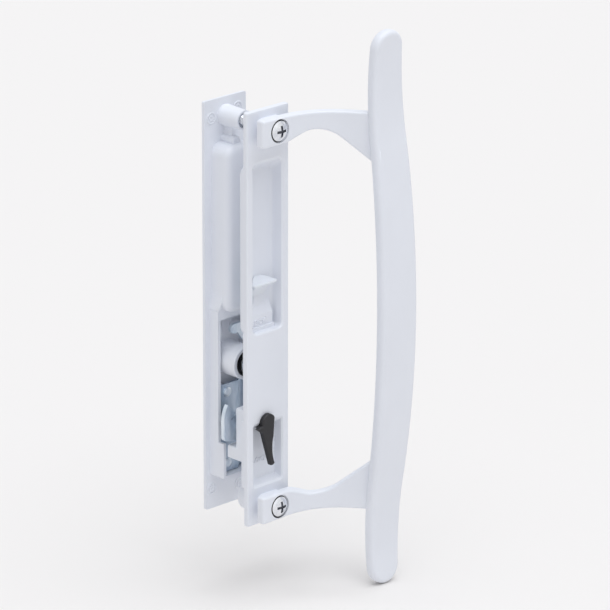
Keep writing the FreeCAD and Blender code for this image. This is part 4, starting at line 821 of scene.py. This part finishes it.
    def web_rings(self) -> list[Ring]:
        """Slices up the web, a rounded channel that is open towards the floor of the cup.

        Returns:
            One ring for each height of the web.
        """
        rings = []
        back, wall = self.floor_gap_face, self.web_wall
        turns = [math.pi / 2 * k / self.edge_steps for k in range(self.edge_steps + 1)]
        for z, half, front in self.web:
            corner = min(self.web_corner, (back - front) * self.web_corner_share)
            outer = [(-half, back)]
            outer += [(-half + corner * (1 - math.cos(turn)), front + corner * (1 - math.sin(turn)))
                      for turn in turns]
            outer += [(-x, y) for x, y in reversed(outer)]
            inner = [(half - wall, back), (half - wall, front + wall), (-half + wall, front + wall),
                     (-half + wall, back)]
            rings.append([(x, y, z) for x, y in outer + inner])
        return rings

    def stem_rings(self) -> list[Ring]:
        """The bar that goes through the plate to the clip behind it."""
        half = self.stem_half
        return [[(-half, y, self.stem_low), (half, y, self.stem_low), (half, y, self.stem_high),
                 (-half, y, self.stem_high)] for y in (self.stem_front, self.stem_back)]

    def flange_rings(self) -> list[Ring]:
        """The thin flange against the floor of the cup that keeps the slot round the stem shut.

        Returns:
            Its smaller front and its full back.
        """
        rings = []
        back, low, cut = self.floor_gap_face, self.stem_low, self.flange_chamfer
        for y, share in ((back - self.flange_thickness, 1.0), (back, 0.0)):
            half = self.flange_half - self.flange_draft[0] * share
            top = self.flange_top - self.flange_draft[1] * share
            rings.append([(-half, y, low), (half, y, low), (half, y, top - cut), (half - cut, y, top),
                          (-half + cut, y, top), (-half, y, top - cut)])
        return rings


@dataclass
class ThumbLever(SubAssembly):
    """The black lever with its washer, crank and drive pin."""

    part: Part = Part.THUMB_LEVER
    finishes: dict[str, Finish] = field(default_factory=lambda: {
        "thumb_lever": BLACK_NYLON, "lever_washer": ZINC_PLATE, "drive_arm": ZINC_PLATE,
        "drive_pin": ZINC_PLATE})


@dataclass(frozen=True)
class StudioCamera:
    """A long lens at the photograph's angle. Angles in degrees, places in millimetres."""

    azimuth: float = -44.09
    elevation: float = 19.17
    roll: float = 0.10
    focal_px: float = 4929.4
    distance: float = 2090.0
    aim: Point = (12.42, -11.86, 4.92)
    # Nearest and furthest thing that it shows, in metres.
    clip_m: tuple[float, float] = (0.1, 100.0)

    def build(self) -> bpy.types.Object:
        """Make the camera and set it as the scene's own.

        Returns:
            The camera object.
        """
        turn = math.radians(self.azimuth)
        tilt = math.radians(self.elevation)
        back = Vector((math.sin(turn) * math.cos(tilt), -math.cos(turn) * math.cos(tilt), math.sin(tilt)))
        data = bpy.data.cameras.new("studio_camera")
        data.sensor_width = SENSOR_WIDTH_MM
        data.lens = self.focal_px / PHOTO_WIDTH_PX * SENSOR_WIDTH_MM
        data.clip_start, data.clip_end = self.clip_m
        camera = bpy.data.objects.new("studio_camera", data)
        bpy.context.scene.collection.objects.link(camera)
        look = (-back).to_track_quat("-Z", "Y").to_matrix().to_4x4()
        spin = Matrix.Rotation(math.radians(self.roll), 4, "Z")
        spot = (Vector(self.aim) + back * self.distance) * MM
        camera.matrix_world = Matrix.Translation(spot) @ look @ spin
        bpy.context.scene.camera = camera
        return camera


@dataclass(frozen=True)
class Studio:
    """White floor, pale surroundings and two wide lights, overhead and from the front left."""

    floor_half_m: float = 30.0
    floor_drop_mm: float = 0.3
    backdrop_hex: str = "#F6F6F6"
    sky_hex: str = "#FAFBFF"
    sky_strength: float = 0.39
    # A touch warmer than the overhead light is cool, so that the floor shows a neutral white.
    floor_colour: tuple[float, float, float] = (0.878, 0.854, 0.831)
    # Each lamp: name, colour, strength, spread in degrees, and the direction that it shines from.
    lamps: tuple[tuple[str, str, float, float, Point], ...] = (
        ("overhead_softbox", "#F8FBFF", 2.17, 68.0, (-0.03, -0.18, 1.0)),
        ("front_softbox", "#FFFFFF", 0.18, 70.0, (-0.45, -0.75, 0.50)))

    def build(self, lowest_m: float) -> None:
        """Make the floor, the surroundings and the light.

        Args:
            lowest_m: height of the object's lowest point.
        """
        bpy.context.scene.view_settings.view_transform = "Standard"
        self.make_floor(lowest_m - self.floor_drop_mm * MM)
        self.make_world()
        for lamp in self.lamps:
            self.make_lamp(*lamp)

    def make_floor(self, height: float) -> None:
        """Lay a wide floor whose lit colour matches the backdrop, so that only shadow shows.

        Args:
            height: where it lies, in metres.
        """
        mesh = bpy.data.meshes.new("studio_floor")
        half = self.floor_half_m
        corners = [(-half, -half, height), (half, -half, height), (half, half, height), (-half, half, height)]
        mesh.from_pydata(corners, [], [(0, 1, 2, 3)])
        floor = bpy.data.objects.new("studio_floor", mesh)
        bpy.context.scene.collection.objects.link(floor)
        material = bpy.data.materials.new("studio_floor_paper")
        material.use_nodes = True
        tree = material.node_tree
        tree.nodes.clear()
        paper = add_node(tree, "ShaderNodeBsdfDiffuse", {"Color": (*self.floor_colour, 1.0)})
        add_node(tree, "ShaderNodeOutputMaterial", None, {"Surface": paper.outputs["BSDF"]})
        mesh.materials.append(material)
        floor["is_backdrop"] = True

    def make_world(self) -> None:
        """Light from all round, with the backdrop's own colour where it is seen or mirrored."""
        world = bpy.data.worlds.new("studio")
        bpy.context.scene.world = world
        world.use_nodes = True
        tree = world.node_tree
        tree.nodes.clear()
        path = add_node(tree, "ShaderNodeLightPath")
        seen = add_node(tree, "ShaderNodeMath", {"operation": "MAXIMUM"},
                        {0: path.outputs["Is Camera Ray"], 1: path.outputs["Is Glossy Ray"]})
        shown = add_node(tree, "ShaderNodeMath", {"operation": "MAXIMUM"},
                         {0: seen.outputs[0], 1: path.outputs["Is Transmission Ray"]})
        light = add_node(tree, "ShaderNodeBackground",
                         {"Color": srgb(self.sky_hex), "Strength": self.sky_strength})
        backdrop = add_node(tree, "ShaderNodeBackground", {"Color": srgb(self.backdrop_hex), "Strength": 1.0})
        mix = add_node(tree, "ShaderNodeMixShader", None,
                       {0: shown.outputs[0], 1: light.outputs[0], 2: backdrop.outputs[0]})
        add_node(tree, "ShaderNodeOutputWorld", None, {"Surface": mix.outputs[0]})

    def make_lamp(self, name: str, colour: str, strength: float, spread: float, shines_from: Point) -> None:
        """Hang one wide light.

        Args:
            name: the lamp's name.
            colour: its colour as sRGB hex.
            strength: its light on a face square to it.
            spread: how wide it looks from the object, in degrees.
            shines_from: direction from the object to the light.
        """
        data = bpy.data.lights.new(name, "SUN")
        data.color = srgb(colour)[:3]
        data.energy = strength
        data.angle = math.radians(spread)
        lamp = bpy.data.objects.new(name, data)
        bpy.context.scene.collection.objects.link(lamp)
        lamp.matrix_world = Vector(shines_from).to_track_quat("Z", "Y").to_matrix().to_4x4()


def main() -> None:
    """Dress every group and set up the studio."""
    logging.basicConfig(level=logging.INFO, format="%(message)s")
    cad_low, cad_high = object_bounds()
    StudioCamera().build()
    groups = (Castings(), MountingScrews(), KeyCylinder(), LatchCase(), Latch(), ThumbSlide(), ThumbLever(),
              KeyPlug())
    finishes = (POWDER_COAT, WHITE_ABS, BLACK_NYLON, ZINC_PLATE, ZINC_CASE, NICKEL_SCREW, RECESS_PAINTED_SHADE,
                NICKEL_BRASS, BLACK_OXIDE)
    materials = {finish.name: finish.build() for finish in finishes}
    for group in groups:
        group.dress(materials)
        group.build(materials)
    Studio().build(cad_low.z)


if __name__ == "__main__":
    main()
